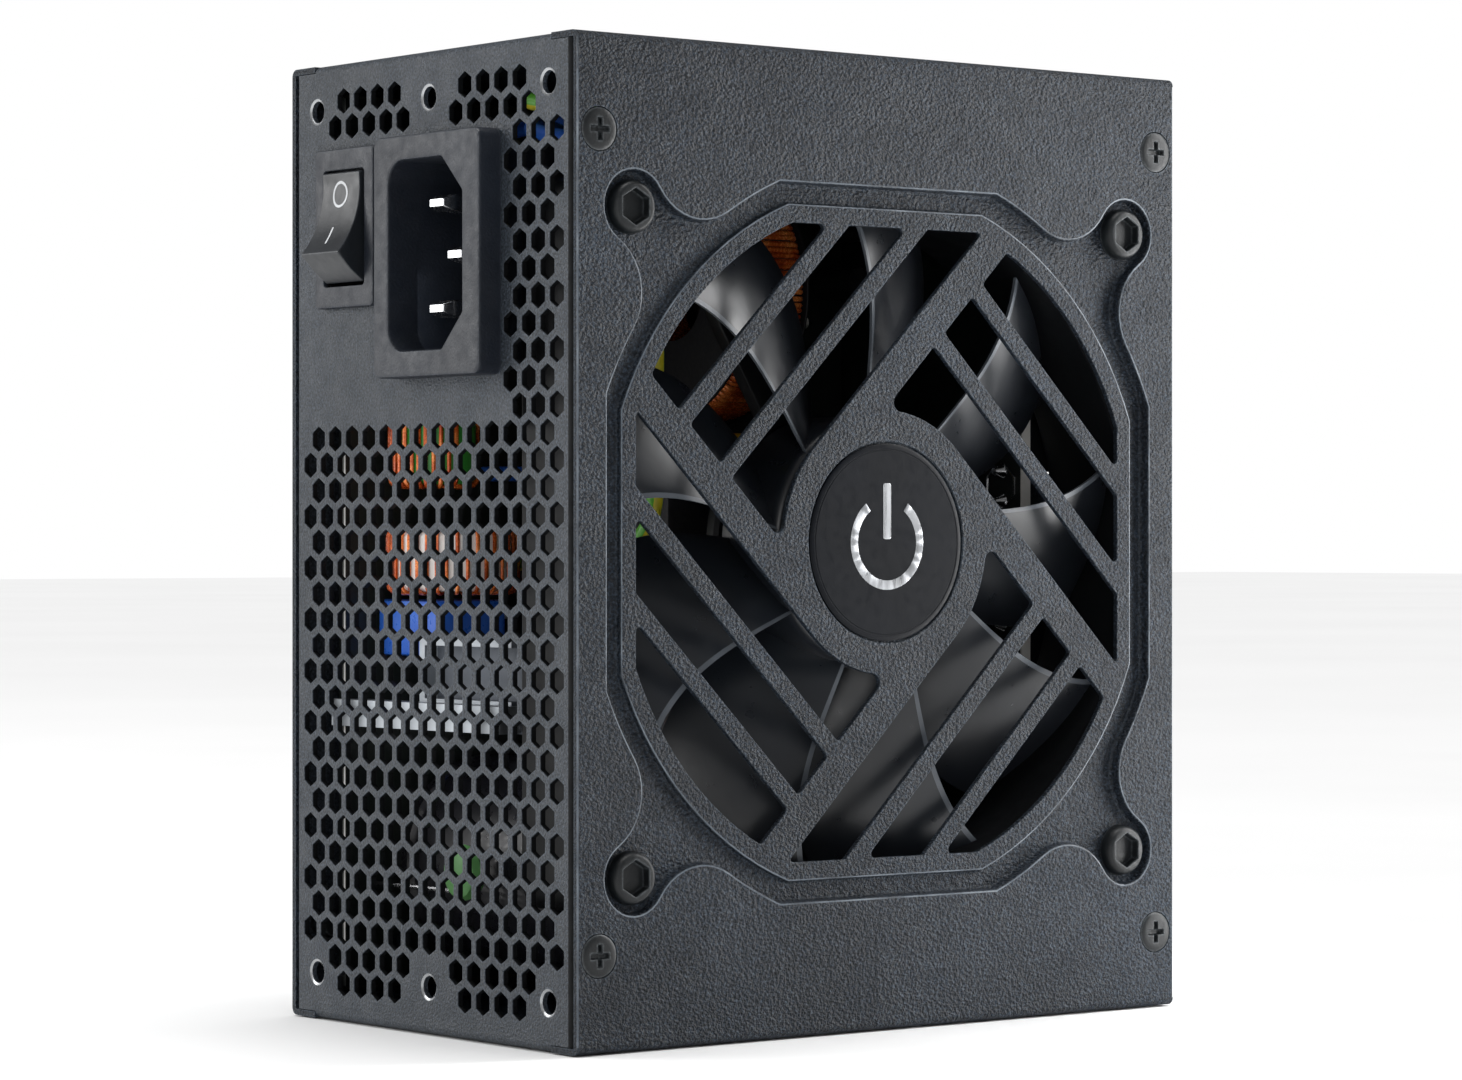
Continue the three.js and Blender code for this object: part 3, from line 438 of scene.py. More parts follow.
SCREW_BLACK = material("blackened_screw", ("0e1113", "171b1e"), (0.36, 0.5), 0.0, 160,
        ((2600, 0.03),), worn=("70767a", 0.6), specular=0.34)
PLASTIC = material("moulded_plastic", ("181c24", "1e242e"), (0.42, 0.58), mottle=60,
        grain=((2600, 0.06), (700, 0.01)), worn=("525962", 0.35), specular=0.4, speckle=(2600, 0.5))
DARK_PLASTIC = plain("socket_plastic", ("0e1013", "14161a"), (0.45, 0.6), 60, 2600, 0.02,
        worn=("30343a", 0.3), specular=0.3)
ROCKER_PLASTIC = plain("rocker_plastic", ("191c20", "202429"), (0.3, 0.45), 60, 3000, 0.012,
        worn=("585e66", 0.3), specular=0.45)
MARK_WHITE = plain("printed_mark", ("c0c3c6", "d2d5d8"), (0.45, 0.6), 300, 4000, 0.005)
TIN = material("tinned_metal", ("a3a5a8", "c9cacc"), (0.16, 0.3), 1.0, 160, ((2000, 0.008),),
        stretch=(1, 1, 0.2))
FAN_PLASTIC = plain("fan_plastic", ("16191e", "1f2329"), (0.27, 0.36), 40, 900, 0.012,
        specular=0.55)
# A darker copy of the fan's plastic for the frame, painted shade for the inside of the case.
SHADED_FRAME_PLASTIC = plain("fan_frame_plastic_shaded", ("0b0c0e", "111316"), (0.4, 0.55), 40, 900, 0.012,
        specular=0.3)
# A lighter plastic for the blades' leading edges, a painted highlight.
BLADE_EDGE_HIGHLIGHT = plain("blade_edge_highlight", ("4d5259", "656b72"), (0.3, 0.42), 90, 900, 0.012)
BRONZE = material("bearing_bronze", ("8a6a3a", "a88450"), (0.3, 0.5), 1.0, 200, ((3000, 0.01),))
COPPER = material("enamelled_copper", ("8a2f0e", "bd551e", "ea8c48"), (0.2, 0.32), 0.4, 300,
        ((1800, 0.01),), coat=0.3)
FERRITE = material("ferrite", ("28282b", "343437"), (0.55, 0.75), 0.1, 220, ((1800, 0.04),))
GREEN_COAT = plain("green_core_coat", ("2a7d2c", "379238"), (0.3, 0.45), 120, 900, 0.04)
WHITE_PLASTIC = plain("white_plastic", ("dddbd6", "edebe7"), (0.4, 0.55), 120, 1600, 0.02)
BADGE = material("badge_lacquer", ("070a10", "0a0e15"), (0.35, 0.48), 0.0, 90, ((2400, 0.006),),
        specular=0.14)
SILVER = material("badge_silver", ("a8abaf", "c6c8cb"), (0.25, 0.4), 0.9, 200, ((3000, 0.006),),
        stretch=(1, 1, 0.1))
SOLDER_MASK = plain("circuit_board", ("0b100e", "111815"), (0.4, 0.55), 160, 700, 0.03)
PAPER = plain("insulation_paper", ("3a3830", "46433a"), (0.6, 0.8), 90, 500, 0.03)
SLEEVE = plain("capacitor_sleeve", ("17171b", "202026"), (0.25, 0.4), 80, 500, 0.02, coat=0.2)
OUTPUT_SLEEVE = plain("output_sleeve", ("37305a", "423a68"), (0.25, 0.4), 120, 700, 0.02)
# A darker copy of the aluminium, painted shade for the primary heatsink's web and fins.
SHADED_ALUMINIUM = material("aluminium_painted_shade", ("4b5058", "5f656e"), (0.5, 0.65), 0.2, 90,
        ((900, 0.02),))
ALUMINIUM = material("aluminium", ("8f9499", "a6abb0"), (0.3, 0.48), 0.7, 90, ((900, 0.02),),
        stretch=(1, 0.06, 1))
TAPE = plain("yellow_tape", ("b98e16", "d3a625"), (0.3, 0.45), 120, 400, 0.05, coat=0.2,
        stretch=(1, 1, 0.3))
BLUE_EPOXY = plain("blue_film_box", ("2155b8", "2f6acc"), (0.25, 0.38), 120, 800, 0.03)
DISC_GREEN = plain("green_disc_coat", ("63a35f", "7cbc72"), (0.3, 0.45), 160, 500, 0.06)
MOULDED_BLACK = plain("rectifier_black", ("151517", "1e1e20"), (0.45, 0.6), 200, 2600, 0.03)
EARTH_GREEN = insulation("earth_insulation", "5cae34", "6cc040")
EARTH_YELLOW = insulation("earth_stripe", "cfc227", "ddd23a")
BROWN_WIRE = insulation("brown_insulation", "5a3217", "6b4020")
BLUE_WIRE = insulation("blue_insulation", "2360cc", "3474e0")
BLACK_WIRE = insulation("black_insulation", "141416", "1d1d20")
BUTTON = plain("button_plastic", ("8b8d90", "9b9da0"), (0.35, 0.5), 150, 2600, 0.015,
        worn=("e6e7e8", 0.3))
LABEL = plain("blank_label", ("b9bcbf", "c5c8cb"), (0.4, 0.55), 120, 1800, 0.01)
LABEL_INK = plain("label_rules", ("3c4046", "464a50"), (0.45, 0.6), 200, 1800, 0.01)
FLOOR = plain("floor", ("f5f5f5", "f8f8f8"), (0.75, 0.9), 3, 120, 0.02)


# ---- solid pieces ----
def plate(bm, axis, low, high, outline, holes=(), edge=0.15, material=0):
    """A plate between two depths, with softened edges and holes that go through it."""
    soft = [(edge, 0), (edge * 0.3, edge * 0.3), (0, edge)]
    for depth in (low, high):
        fill(bm, axis, depth, [offset(outline, -edge)] + [offset(hole, edge) for hole in holes],
                material)
    sides = [(grow, low + deep) for grow, deep in soft] + [(grow, high - deep)
            for grow, deep in reversed(soft)]
    walls(bm, axis, outline, [(-grow, depth) for grow, depth in sides], material)
    for hole in holes:
        walls(bm, axis, hole, sides, material)


def block(bm, corner, far, edge=0.15, material=0):
    """A box between two corners, with softened upright edges and rims."""
    x0, y0, z0 = corner
    x1, y1, z1 = far
    r = min(edge * 1.5, (x1 - x0) / 3, (z1 - z0) / 3)
    plate(bm, "y", y0, y1, rounded_box(x0, z0, x1, z1, r, 2), edge=min(edge, (y1 - y0) / 3),
            material=material)


def turned(bm, axis, centre, profile, steps=32, material=0):
    """A turned shape about an axis through the centre, from pairs (radius, depth)."""
    cu, cv = {"x": (1, 2), "y": (0, 2), "z": (0, 1)}[axis]
    u, v = centre[cu], centre[cv]
    loft(bm, [ring_of(axis, circle(u, v, max(radius, 1e-4), steps), depth)
            for radius, depth in profile], material)


def smooth_path(points, steps=6):
    """A Catmull-Rom curve through the points."""
    points = [Vector(p) for p in points]
    ends = [points[0] * 2 - points[1], *points, points[-1] * 2 - points[-2]]
    out = []
    for i in range(1, len(ends) - 2):
        a, b, c, d = ends[i - 1:i + 3]
        for k in range(steps):
            t = k / steps
            out.append(0.5 * ((2 * b) + (c - a) * t + (2 * a - 5 * b + 4 * c - d) * t * t
                    + (3 * b - a - 3 * c + d) * t ** 3))
    return out + [points[-1]]


def tube(bm, path, radius, sides=10, closed=False, material=0):
    """A round tube along a path."""
    path = [Vector(p) for p in path]
    count = len(path)
    side = None
    rings = []
    for i, p in enumerate(path):
        before = path[(i - 1) % count] if closed or i else p
        after = path[(i + 1) % count] if closed or i < count - 1 else p
        along = (after - before).normalized()
        side = side or along.orthogonal()
        side = (side - along * side.dot(along)).normalized()
        other = along.cross(side)
        rings.append([p + radius * (side * math.cos(a) + other * math.sin(a))
                for a in (2 * math.pi * k / sides for k in range(sides))])
    loft(bm, rings + rings[:1] if closed else rings, material)
    if not closed:
        cap_ends(bm, rings, material)


# ---- case ----
def bent(corner, along, inwards, reach):
    """The outer and inner lines of a folded sheet, from the plate round to the end of its lip."""
    corner, along, inwards = Vector(corner), Vector(along), Vector(inwards)
    centre = corner + (along + inwards) * BEND
    turns = [math.radians(15 * k) for k in range(7)]
    line = lambda r: [centre - along * r * math.sin(a) - inwards * r * math.cos(a) for a in turns]
    end = corner + inwards * reach
    return line(BEND) + [end], line(BEND - SHEET) + [end + along * SHEET]


def folded(bm, axis, ends, corner, along, inwards, reach, material=0):
    """A fold of the sheet, swept along an axis between two ends."""
    outer, inner = bent(corner, along, inwards, reach)
    for line in (outer, inner, [outer[-1], inner[-1]]):
        loft(bm, [ring_of(axis, line, e) for e in ends], material, closed=False)
    for e in ends:
        loft(bm, [ring_of(axis, outer, e), ring_of(axis, inner, e)], material, closed=False)


EMBOSS = ((0.32, 0), (0.14, 0.05), (0.03, 0.2), (0, 0.5), (-0.04, 1.1), (-0.14, 1.36), (-0.34, 1.5))
RISE = ((0.36, 0), (0.14, 0.08), (0.04, 0.22), (0, 0.4), (-0.04, 0.58), (-0.12, 0.7), (-0.3, 0.75))


def fan_cover():
    """The formed cover: a flat face, a recessed band, a raised grille, and two rims."""
    bm = bmesh.new()
    face = -HALF_Y
    floor = face + BAND["depth"]
    island = floor - ISLAND["depth"]
    band, raised = band_outline(), bulged_square(ISLAND)
    sinks = [circle(x, z, SINK_RADIUS) for x, z in COVER_SCREWS]
    seats = [circle(x, z, SEAT_RADIUS) for x, z in FAN_SCREWS]
    slots = [grille_slot(low, high, quarter) for quarter in range(4) for low, high in SLOTS]
    recess = circle(0, MID_Z, BADGE_RECESS, 72)
    inset = 0.18
    fill(bm, "y", face, [box(-HALF_X + inset, BEND, HALF_X - inset, TOP_Z - BEND),
            offset(band, EMBOSS[0][0]), *sinks])
    fill(bm, "y", face + SHEET, [box(-HALF_X, BEND, HALF_X, TOP_Z - BEND),
            offset(band, BAND_BEHIND), *sinks])
    for sink in sinks:
        walls(bm, "y", sink, [(0, face), (0, face + SHEET)])
    wall = [(grow, face + deep) for grow, deep in EMBOSS]
    # The crest of the band's wall takes the lighter rim coat, a painted highlight.
    walls(bm, "y", band, wall[:2], 1)
    walls(bm, "y", band, wall[1:])
    walls(bm, "y", band, [(BAND_BEHIND, face + SHEET), (BAND_BEHIND, floor + SHEET)])
    fill(bm, "y", floor, [offset(band, EMBOSS[-1][0]), offset(raised, RISE[0][0]), *seats])
    wall = [(grow, floor - up) for grow, up in RISE]
    walls(bm, "y", raised, wall[:-1])
    # The top of the grille's rise takes the lighter rim coat, a painted highlight.
    walls(bm, "y", raised, wall[-2:], 1)
    fill(bm, "y", floor + SHEET, [offset(band, BAND_BEHIND), offset(raised, RISE_BEHIND), *seats])
    for seat in seats:
        walls(bm, "y", seat, [(0, floor), (0, floor + SHEET)])
    walls(bm, "y", raised, [(RISE_BEHIND, floor + SHEET), (RISE_BEHIND, island + SHEET)])
    lip = [(0.14, 0), (0.04, 0.04), (0, 0.14), (0, SHEET - 0.1), (0.06, SHEET)]
    fill(bm, "y", island, [offset(raised, RISE[-1][0]), *[offset(slot, 0.14) for slot in slots],
            offset(recess, 0.12)])
    fill(bm, "y", island + SHEET, [offset(raised, RISE_BEHIND),
            *[offset(slot, 0.06) for slot in slots]])
    for slot in slots:
        walls(bm, "y", slot, [(grow, island + deep) for grow, deep in lip])
    walls(bm, "y", recess, [(0.12, island), (0, island + 0.12), (0, island + BADGE_DEPTH)])
    fill(bm, "y", island + BADGE_DEPTH, [recess])
    for side in (-1, 1):
        x = side * HALF_X
        edge = [(x - side * inset, face), (x - side * inset * 0.3, face + inset * 0.3),
                (x, face + inset), (x, face + SHEET)]
        # The rounded outer edges of the face take the lighter rim coat, a painted highlight.
        for part, finish in ((edge[:3], 1), (edge[2:], 0)):
            loft(bm, [ring_of("z", part, z) for z in (BEND, TOP_Z - BEND)], finish, closed=False)
    folded(bm, "x", (-HALF_X, HALF_X), (face, 0), (0, 1), (1, 0), LID_RIM - SEAM)
    folded(bm, "x", (-HALF_X, HALF_X), (face, TOP_Z), (0, -1), (1, 0), LID_RIM - SEAM)
    stand_in(bm, "fan_cover", [COAT, RIM_HIGHLIGHT], "case_coat")


def base_cover():
    """The deep cover: the base plate, and two walls notched for the end panels' lips."""
    bm = bmesh.new()
    face = HALF_Y
    sinks = [circle(x, z, SINK_RADIUS) for x, z in BASE_SCREWS]
    for depth in (face, face - SHEET):
        fill(bm, "y", depth, [box(-HALF_X, BEND, HALF_X, TOP_Z - BEND), *sinks])
    for sink in sinks:
        walls(bm, "y", sink, [(0, face), (-0.7, face - SHEET)])
    for side in (-1, 1):
        x = side * HALF_X
        loft(bm, [ring_of("z", [(x, face), (x, face - SHEET)], z) for z in (BEND, TOP_Z - BEND)],
                closed=False)
    notch = HALF_X - LIP - 0.3
    spans = (((-HALF_X, -notch), LID_RIM - 0.05), ((-notch, notch), 2 * HALF_Y - LID_RIM - SEAM),
            ((notch, HALF_X), LID_RIM - 0.05))
    for ends, reach in spans:
        folded(bm, "x", ends, (face, 0), (0, 1), (-1, 0), reach)
        folded(bm, "x", ends, (face, TOP_Z), (0, -1), (-1, 0), reach)
    for x, z in STANDOFFS:
        turned(bm, "y", (x, 0, z), [(3.2, face - SHEET), (2.7, 26.1), (1.2, 26.1), (1.2, 30)], 20)
    label_low, label_high = (-30, 22), (30, 103)
    plate(bm, "y", face + 0.01, face + 0.07, rounded_box(*label_low, *label_high, 2), edge=0.02,
            material=1)
    for z in (34, 46, 58, 70, 82, 94):
        plate(bm, "y", face + 0.03, face + 0.09, box(-27, z - 0.15, 27, z + 0.15), edge=0.02,
                material=2)
    for x in (-10, 8):
        plate(bm, "y", face + 0.03, face + 0.09, box(x - 0.15, 34.3, x + 0.15, 93.7), edge=0.02,
                material=2)
    stand_in(bm, "base_cover", [COAT, LABEL, LABEL_INK], "case_coat")


def end_panel(side, name, holes, rings=()):
    """A pierced plate with two lips on the narrow sides and two under the covers."""
    bm = bmesh.new()
    out = side * HALF_X
    low, high = SHEET + SEAM, TOP_Z - SHEET - SEAM
    flat = box(-INNER_Y + BEND, low, INNER_Y - BEND, high)
    inwards = (-side, 0)
    lip = ((0.13, 0), (0.04, 0.04), (0, 0.13), (0, SHEET))
    fill(bm, "x", out, [flat, *[offset(hole, 0.13) for hole in holes],
            *[offset(ring, 0.36) for ring in rings]])
    fill(bm, "x", out - side * SHEET, [flat, *holes, *rings])
    for hole in holes:
        walls(bm, "x", hole, [(grow, out - side * deep) for grow, deep in lip[:3]])
        walls(bm, "x", hole, [(grow, out - side * deep) for grow, deep in lip[2:]], 2)
    for ring in rings:
        walls(bm, "x", ring, [(0.36, out), (0.3, out - side * 0.05), (0.05, out - side * 0.16)], 1)
        walls(bm, "x", ring, [(0.05, out - side * 0.16), (0, out - side * 0.3),
                (0, out - side * SHEET)])
    for z, up in ((0, 1), (TOP_Z, -1)):
        folded(bm, "y", (-LIP_HALF_Y, LIP_HALF_Y), (out, z), (0, up), inwards, LIP)
    for y, away in ((-INNER_Y, 1), (INNER_Y, -1)):
        reach = 3.2 if away > 0 else LIP
        folded(bm, "z", (low, high), (out, y), (0, away), inwards, reach, 2 if away > 0 else 0)
    node = name + "_panel"
    stand_in(bm, node, [PANEL_COAT, BARE_STEEL, HOLE_SHADE], "case_coat")


def vent_holes():
    """The honeycomb of the rear panel, clear of its fixings, the inlet and the switch."""
    holes = []
    for row in range(VENT_ROWS):
        last = 6.5 if row % 2 else 7
        edge_row = row < 2 or row > VENT_ROWS - 3
        beside_inlet = 2 <= row <= 12
        for i in range(int(2 * last) + 1):
            k = i - last
            if edge_row and not 1.5 <= abs(k) <= 5.5 or beside_inlet and k > -4.5:
                continue
            z = MID_Z + ((VENT_ROWS - 1) / 2 - row) * VENT_Z
            holes.append(arc(k * VENT_Y, z, VENT_ACROSS / math.sqrt(3), 30, 330, 5))
    return holes


def rear_panel():
    mounts = [circle(i * MOUNT_Y, MID_Z + j * MOUNT_Z, MOUNT_RADIUS, 24) for i in (-1, 0, 1)
            for j in (-1, 1)]
    low, high = node_box("inlet_body")
    inlet_hole = box(low.y + 1.9, low.z + 1.3, high.y - 1.5, high.z - 1.3)
    low, high = node_box("switch_body")
    switch_hole = box(low.y + 0.3, low.z + 0.65, high.y - 0.3, high.z - 0.65)
    end_panel(-1, "rear", [*vent_holes(), inlet_hole, switch_hole], mounts)


def socket_panel():
    holes = []
    for name in [*SOCKETS, "fan_mode_button"]:
        low, high = node_box(name)
        spare = -0.6 if name == "fan_mode_button" else 0.3
        holes.append(box(low.y - spare, low.z - spare, high.y + spare, high.z + spare))
    end_panel(1, "socket", holes)


# ---- fasteners ----
def cross(x, z, reach, half):
    """The outline of a cross recess."""
    arm = [(reach, -half), (reach, half), (half, half)]
    return [(x + c * u - s * v, z + s * u + c * v) for c, s in ((1, 0), (0, 1), (-1, 0), (0, -1))
            for u, v in arm]


def cover_screw(node, side):
    """A countersunk screw with a cross recess; side is -1 on the fan face and 1 on the base."""
    bm, low, high = mesh_and_box(node)
    x, z = (low.x + high.x) / 2, (low.z + high.z) / 2
    face = side * HALF_Y
    at = lambda outwards: face + side * outwards
    slot = cross(x, z, 1.4, 0.34)
    fill(bm, "y", at(0.2), [circle(x, z, 1.7, 40), offset(slot, 0.1)])
    walls(bm, "y", slot, [(0.1, at(0.2)), (0, at(0.12)), (-0.12, at(-0.5))])
    fill(bm, "y", at(-0.5), [offset(slot, -0.12)])
    turned(bm, "y", (x, 0, z), [(1.7, at(0.2)), (2.2, at(0.16)), (2.52, at(0.06)),
            (2.65, at(-0.05)), (2.6, at(-0.12)), (1.5, at(-1)), (1.5, at(-4.9)), (0, at(-5))], 40)
    stand_in(bm, node, SCREW_BLACK, "screw_black")


def fan_screw(node):
    """A button-head screw with a hexagon socket and a stepped rim."""
    bm, low, high = mesh_and_box(node)
    x, z = (low.x + high.x) / 2, (low.z + high.z) / 2
    seat = low.y + 1.8
    socket = arc(x, z, 2.3, 30, 330, 5)
    fill(bm, "y", low.y, [circle(x, z, 2.62, 48), offset(socket, 0.12)])
    walls(bm, "y", socket, [(0.12, low.y), (0.03, low.y + 0.06), (0, low.y + 0.2),
            (0, low.y + 1.25)])
    fill(bm, "y", low.y + 1.25, [socket])
    turned(bm, "y", (x, 0, z), [(2.62, low.y), (2.85, low.y + 0.08), (3.1, low.y + 0.35),
            (3.28, low.y + 0.85), (3.35, low.y + 1.2), (3.35, seat - 0.05), (1.9, seat),
            (1.9, high.y - 0.3), (1.6, high.y), (0, high.y)], 48)
    stand_in(bm, node, SCREW_BLACK, "screw_black")


# ---- mains inlet and switch ----
def inlet_cavity():
    low, high = node_box("inlet_body")
    y0, z0, y1, z1 = low.y + 3.9, low.z + 3.4, high.y - 3.4, high.z - 3.2
    cut = 4.5
    return softened([(y0 + cut, z0), (y1 - 3, z0), *arc(y1 - 3, z0 + 3, 3, -75, -15, 4),
            (y1, z0 + 3), (y1, z1 - 3), *arc(y1 - 3, z1 - 3, 3, 15, 75, 4), (y1 - 3, z1),
            (y0 + cut, z1), (y0, z1 - cut), (y0, z0 + cut)], 0.5, 3)


def inlet():
    """The mains inlet: a thick flange with a keyed cavity."""
    bm, low, high = mesh_and_box("inlet_body")
    front, floor = low.x, low.x + 16
    flange = rounded_box(low.y, low.z, high.y, high.z, 1.3)
    cavity = inlet_cavity()
    rim = [(0.5, 0), (0.16, 0.12), (0, 0.42)]
    fill(bm, "x", front, [offset(flange, -0.45), offset(cavity, 0.5)])
    walls(bm, "x", flange, [(-0.45, front), (-0.14, front + 0.12), (0, front + 0.42),
            (0, FLANGE_SEAT)])
    fill(bm, "x", FLANGE_SEAT, [flange, offset(cavity, 1)])
    walls(bm, "x", cavity, [(g, front + d) for g, d in rim] + [(-0.1, floor)])
    fill(bm, "x", floor, [offset(cavity, -0.1)], 1)
    shell = rounded_box(low.y + 2.2, low.z + 1.6, high.y - 1.8, high.z - 1.6, 0.8)
    walls(bm, "x", shell, [(0, FLANGE_SEAT), (0, high.x - 0.4), (-0.4, high.x)])
    fill(bm, "x", high.x, [offset(shell, -0.4)])
    for node in PINS:
        a, b = node_box(node)
        foot = rounded_box(a.y - 0.5, a.z - 0.5, b.y + 0.5, b.z + 0.5, 0.3, 2)
        plate(bm, "x", floor - 0.8, floor + 0.1, foot, edge=0.2, material=1)
    stand_in(bm, "inlet_body", [PLASTIC, DARK_PLASTIC], "black_plastic")


def inlet_pin(node):
    """A flat blade with a pointed, softened tip."""
    a, b = node_box(node)
    bm = bmesh.new()
    sections = [(a.x, 0.44, 0.72), (a.x + 0.2, 0.54, 0.8), (a.x + 1.4, 0.98, 0.99),
            (a.x + 1.8, 1, 1), (b.x, 1, 1)]
    cy, cz = (a.y + b.y) / 2, (a.z + b.z) / 2
    hy, hz = (b.y - a.y) / 2, (b.z - a.z) / 2
    rings = [ring_of("x", rounded_box(cy - hy * wy, cz - hz * wz, cy + hy * wy, cz + hz * wz,
            0.22 * wz, 3), x) for x, wz, wy in sections]
    loft(bm, rings)
    cap_ends(bm, rings)
    stand_in(bm, node, TIN, "tinned_metal")


def switch_body():
    """The switch's bezel and well."""
    bm, low, high = mesh_and_box("switch_body")
    y, z = (low.y + high.y) / 2, (low.z + high.z) / 2
    w, h = ROCKER["wide"] / 2 + 0.35, 7.55
    opening = rounded_box(y - w, z - h, y + w, z + h, 0.5, 3)
    bezel = rounded_box(low.y, low.z, high.y, high.z, 0.7)
    fill(bm, "x", low.x, [offset(bezel, -0.4), offset(opening, 0.25)])
    walls(bm, "x", bezel, [(-0.4, low.x), (-0.12, low.x + 0.1), (0, low.x + 0.36),
            (0, FLANGE_SEAT)])
    fill(bm, "x", FLANGE_SEAT, [bezel, opening])
    walls(bm, "x", opening, [(0.25, low.x), (0.06, low.x + 0.07), (0, low.x + 0.25),
            (0, low.x + 0.6)])
    well = rounded_box(y - w, z - 8.5, y + w, z + 8.5, 0.3, 3)
    fill(bm, "x", low.x + 0.6, [well, opening], 1)
    walls(bm, "x", well, [(0, low.x + 0.6), (0, high.x - 1.5)], 1)
    fill(bm, "x", high.x - 1.5, [well], 1)
    shell = box(y - 6.2, z - 9.4, y + 6.2, z + 9.4)
    walls(bm, "x", shell, [(0, FLANGE_SEAT), (0, high.x)])
    fill(bm, "x", high.x, [shell])
    stand_in(bm, "switch_body", [PLASTIC, DARK_PLASTIC], "black_plastic")


def rocker():
    """The rocker at rest, its upper half pressed in: a hollow face between rounded ridges."""
    u, h = ROCKER["ridge"]
    sag = ROCKER["sag"]
    radius = (u * u + sag * sag) / (2 * sag)
    opening = math.degrees(math.asin(u / radius))
    centre = (0, h - sag + radius)
    y, z = SWITCH_CENTRE
    tilt = math.radians(ROCKER["tilt"])
    turn = lambda a, o: (PIVOT_X - (o * math.cos(tilt) - a * math.sin(tilt)),
            z + a * math.cos(tilt) + o * math.sin(tilt))
    face = arc(*centre, radius, 270 - opening, 270 + opening, 24)
    side = [(7.0, 3.6), (7.6, 2.0), (7.85, 1.3), (6.9, -0.6), (3.5, -2.2)]
    section = softened(face + side + [(-a, o) for a, o in reversed(side)], 0.35, 4)
    section = [turn(*p) for p in section]
    half = ROCKER["wide"] / 2
    bm = bmesh.new()
    plate(bm, "y", y - half, y + half, section, edge=0.28)
    turned(bm, "y", (PIVOT_X, 0, z), [(0, y - half - 0.9), (0.9, y - half - 0.9),
            (0.9, y + half + 0.9), (0, y + half + 0.9)], 24)
    on_face = lambda a: centre[1] - math.sqrt(radius * radius - a * a)

    def mark(outline, holes=()):
        patch = bmesh.new()
        fill(patch, "z", 0, [outline, *holes])
        bmesh.ops.subdivide_edges(patch, edges=patch.edges, cuts=1)
        for vert in patch.verts:
            across, along = vert.co.x, vert.co.y
            x, up = turn(along, on_face(along) + 0.02)
            vert.co = Vector((x, y + across, up))
        spare = bpy.data.meshes.new("mark")
        patch.to_mesh(spare)
        patch.free()
        count = len(bm.faces)
        bm.from_mesh(spare)
        bpy.data.meshes.remove(spare)
        bm.faces.ensure_lookup_table()
        for face_of_mark in bm.faces[count:]:
            face_of_mark.material_index = 1

    mark(circle(0, 2.85, 1.7, 36), [circle(0, 2.85, 1.36, 36)])
    mark(box(-0.17, -4.0, 0.17, -1.6))
    stand_in(bm, "switch_rocker", [ROCKER_PLASTIC, MARK_WHITE], "rocker_plastic", "rocker",
            weld=5e-4)


# ---- fan ----
def fan_frame():
    """The fan's square frame: a duct with rounded mouths, the motor base and its struts."""
    bm, low, high = mesh_and_box("fan_frame")
    half, bore = high.x, 44
    front, back = low.y, high.y
    square = rounded_box(-half, MID_Z - half, half, MID_Z + half, 3.5, 6)
    holes = [circle(x, z, 2.15) for x, z in FAN_SCREWS]
    duct = circle(0, MID_Z, bore, 120)
    plate(bm, "y", front, back, square, [duct, *holes], edge=0.6)
    base = back - 2.4
    turned(bm, "y", FAN_CENTRE, [(0, base), (16.3, base), (16.8, base + 0.5), (16.8, back - 0.5),
            (16.3, back), (6, back), (5.6, back - 0.3), (0, back - 0.3)], 64)
    for i in range(4):
        a = math.radians(90 * i + 20)
        strut = [(15, -2), (44.2, 4), (44.2, 8), (15, 2)]
        outline = [(p * math.cos(a) - q * math.sin(a), MID_Z + p * math.sin(a) + q * math.cos(a))
                for p, q in strut]
        plate(bm, "y", base, back, outline, edge=0.4)
    turned(bm, "y", FAN_CENTRE, [(3.2, base), (3.2, -24), (4.2, -24), (4.2, base)], 32)
    # The frame takes the darker plastic, painted shade.
    finish_mesh(bm, "fan_frame_fine", SHADED_FRAME_PLASTIC, replaces=["fan_frame", "fan_spider"],
            slot="fan_plastic")


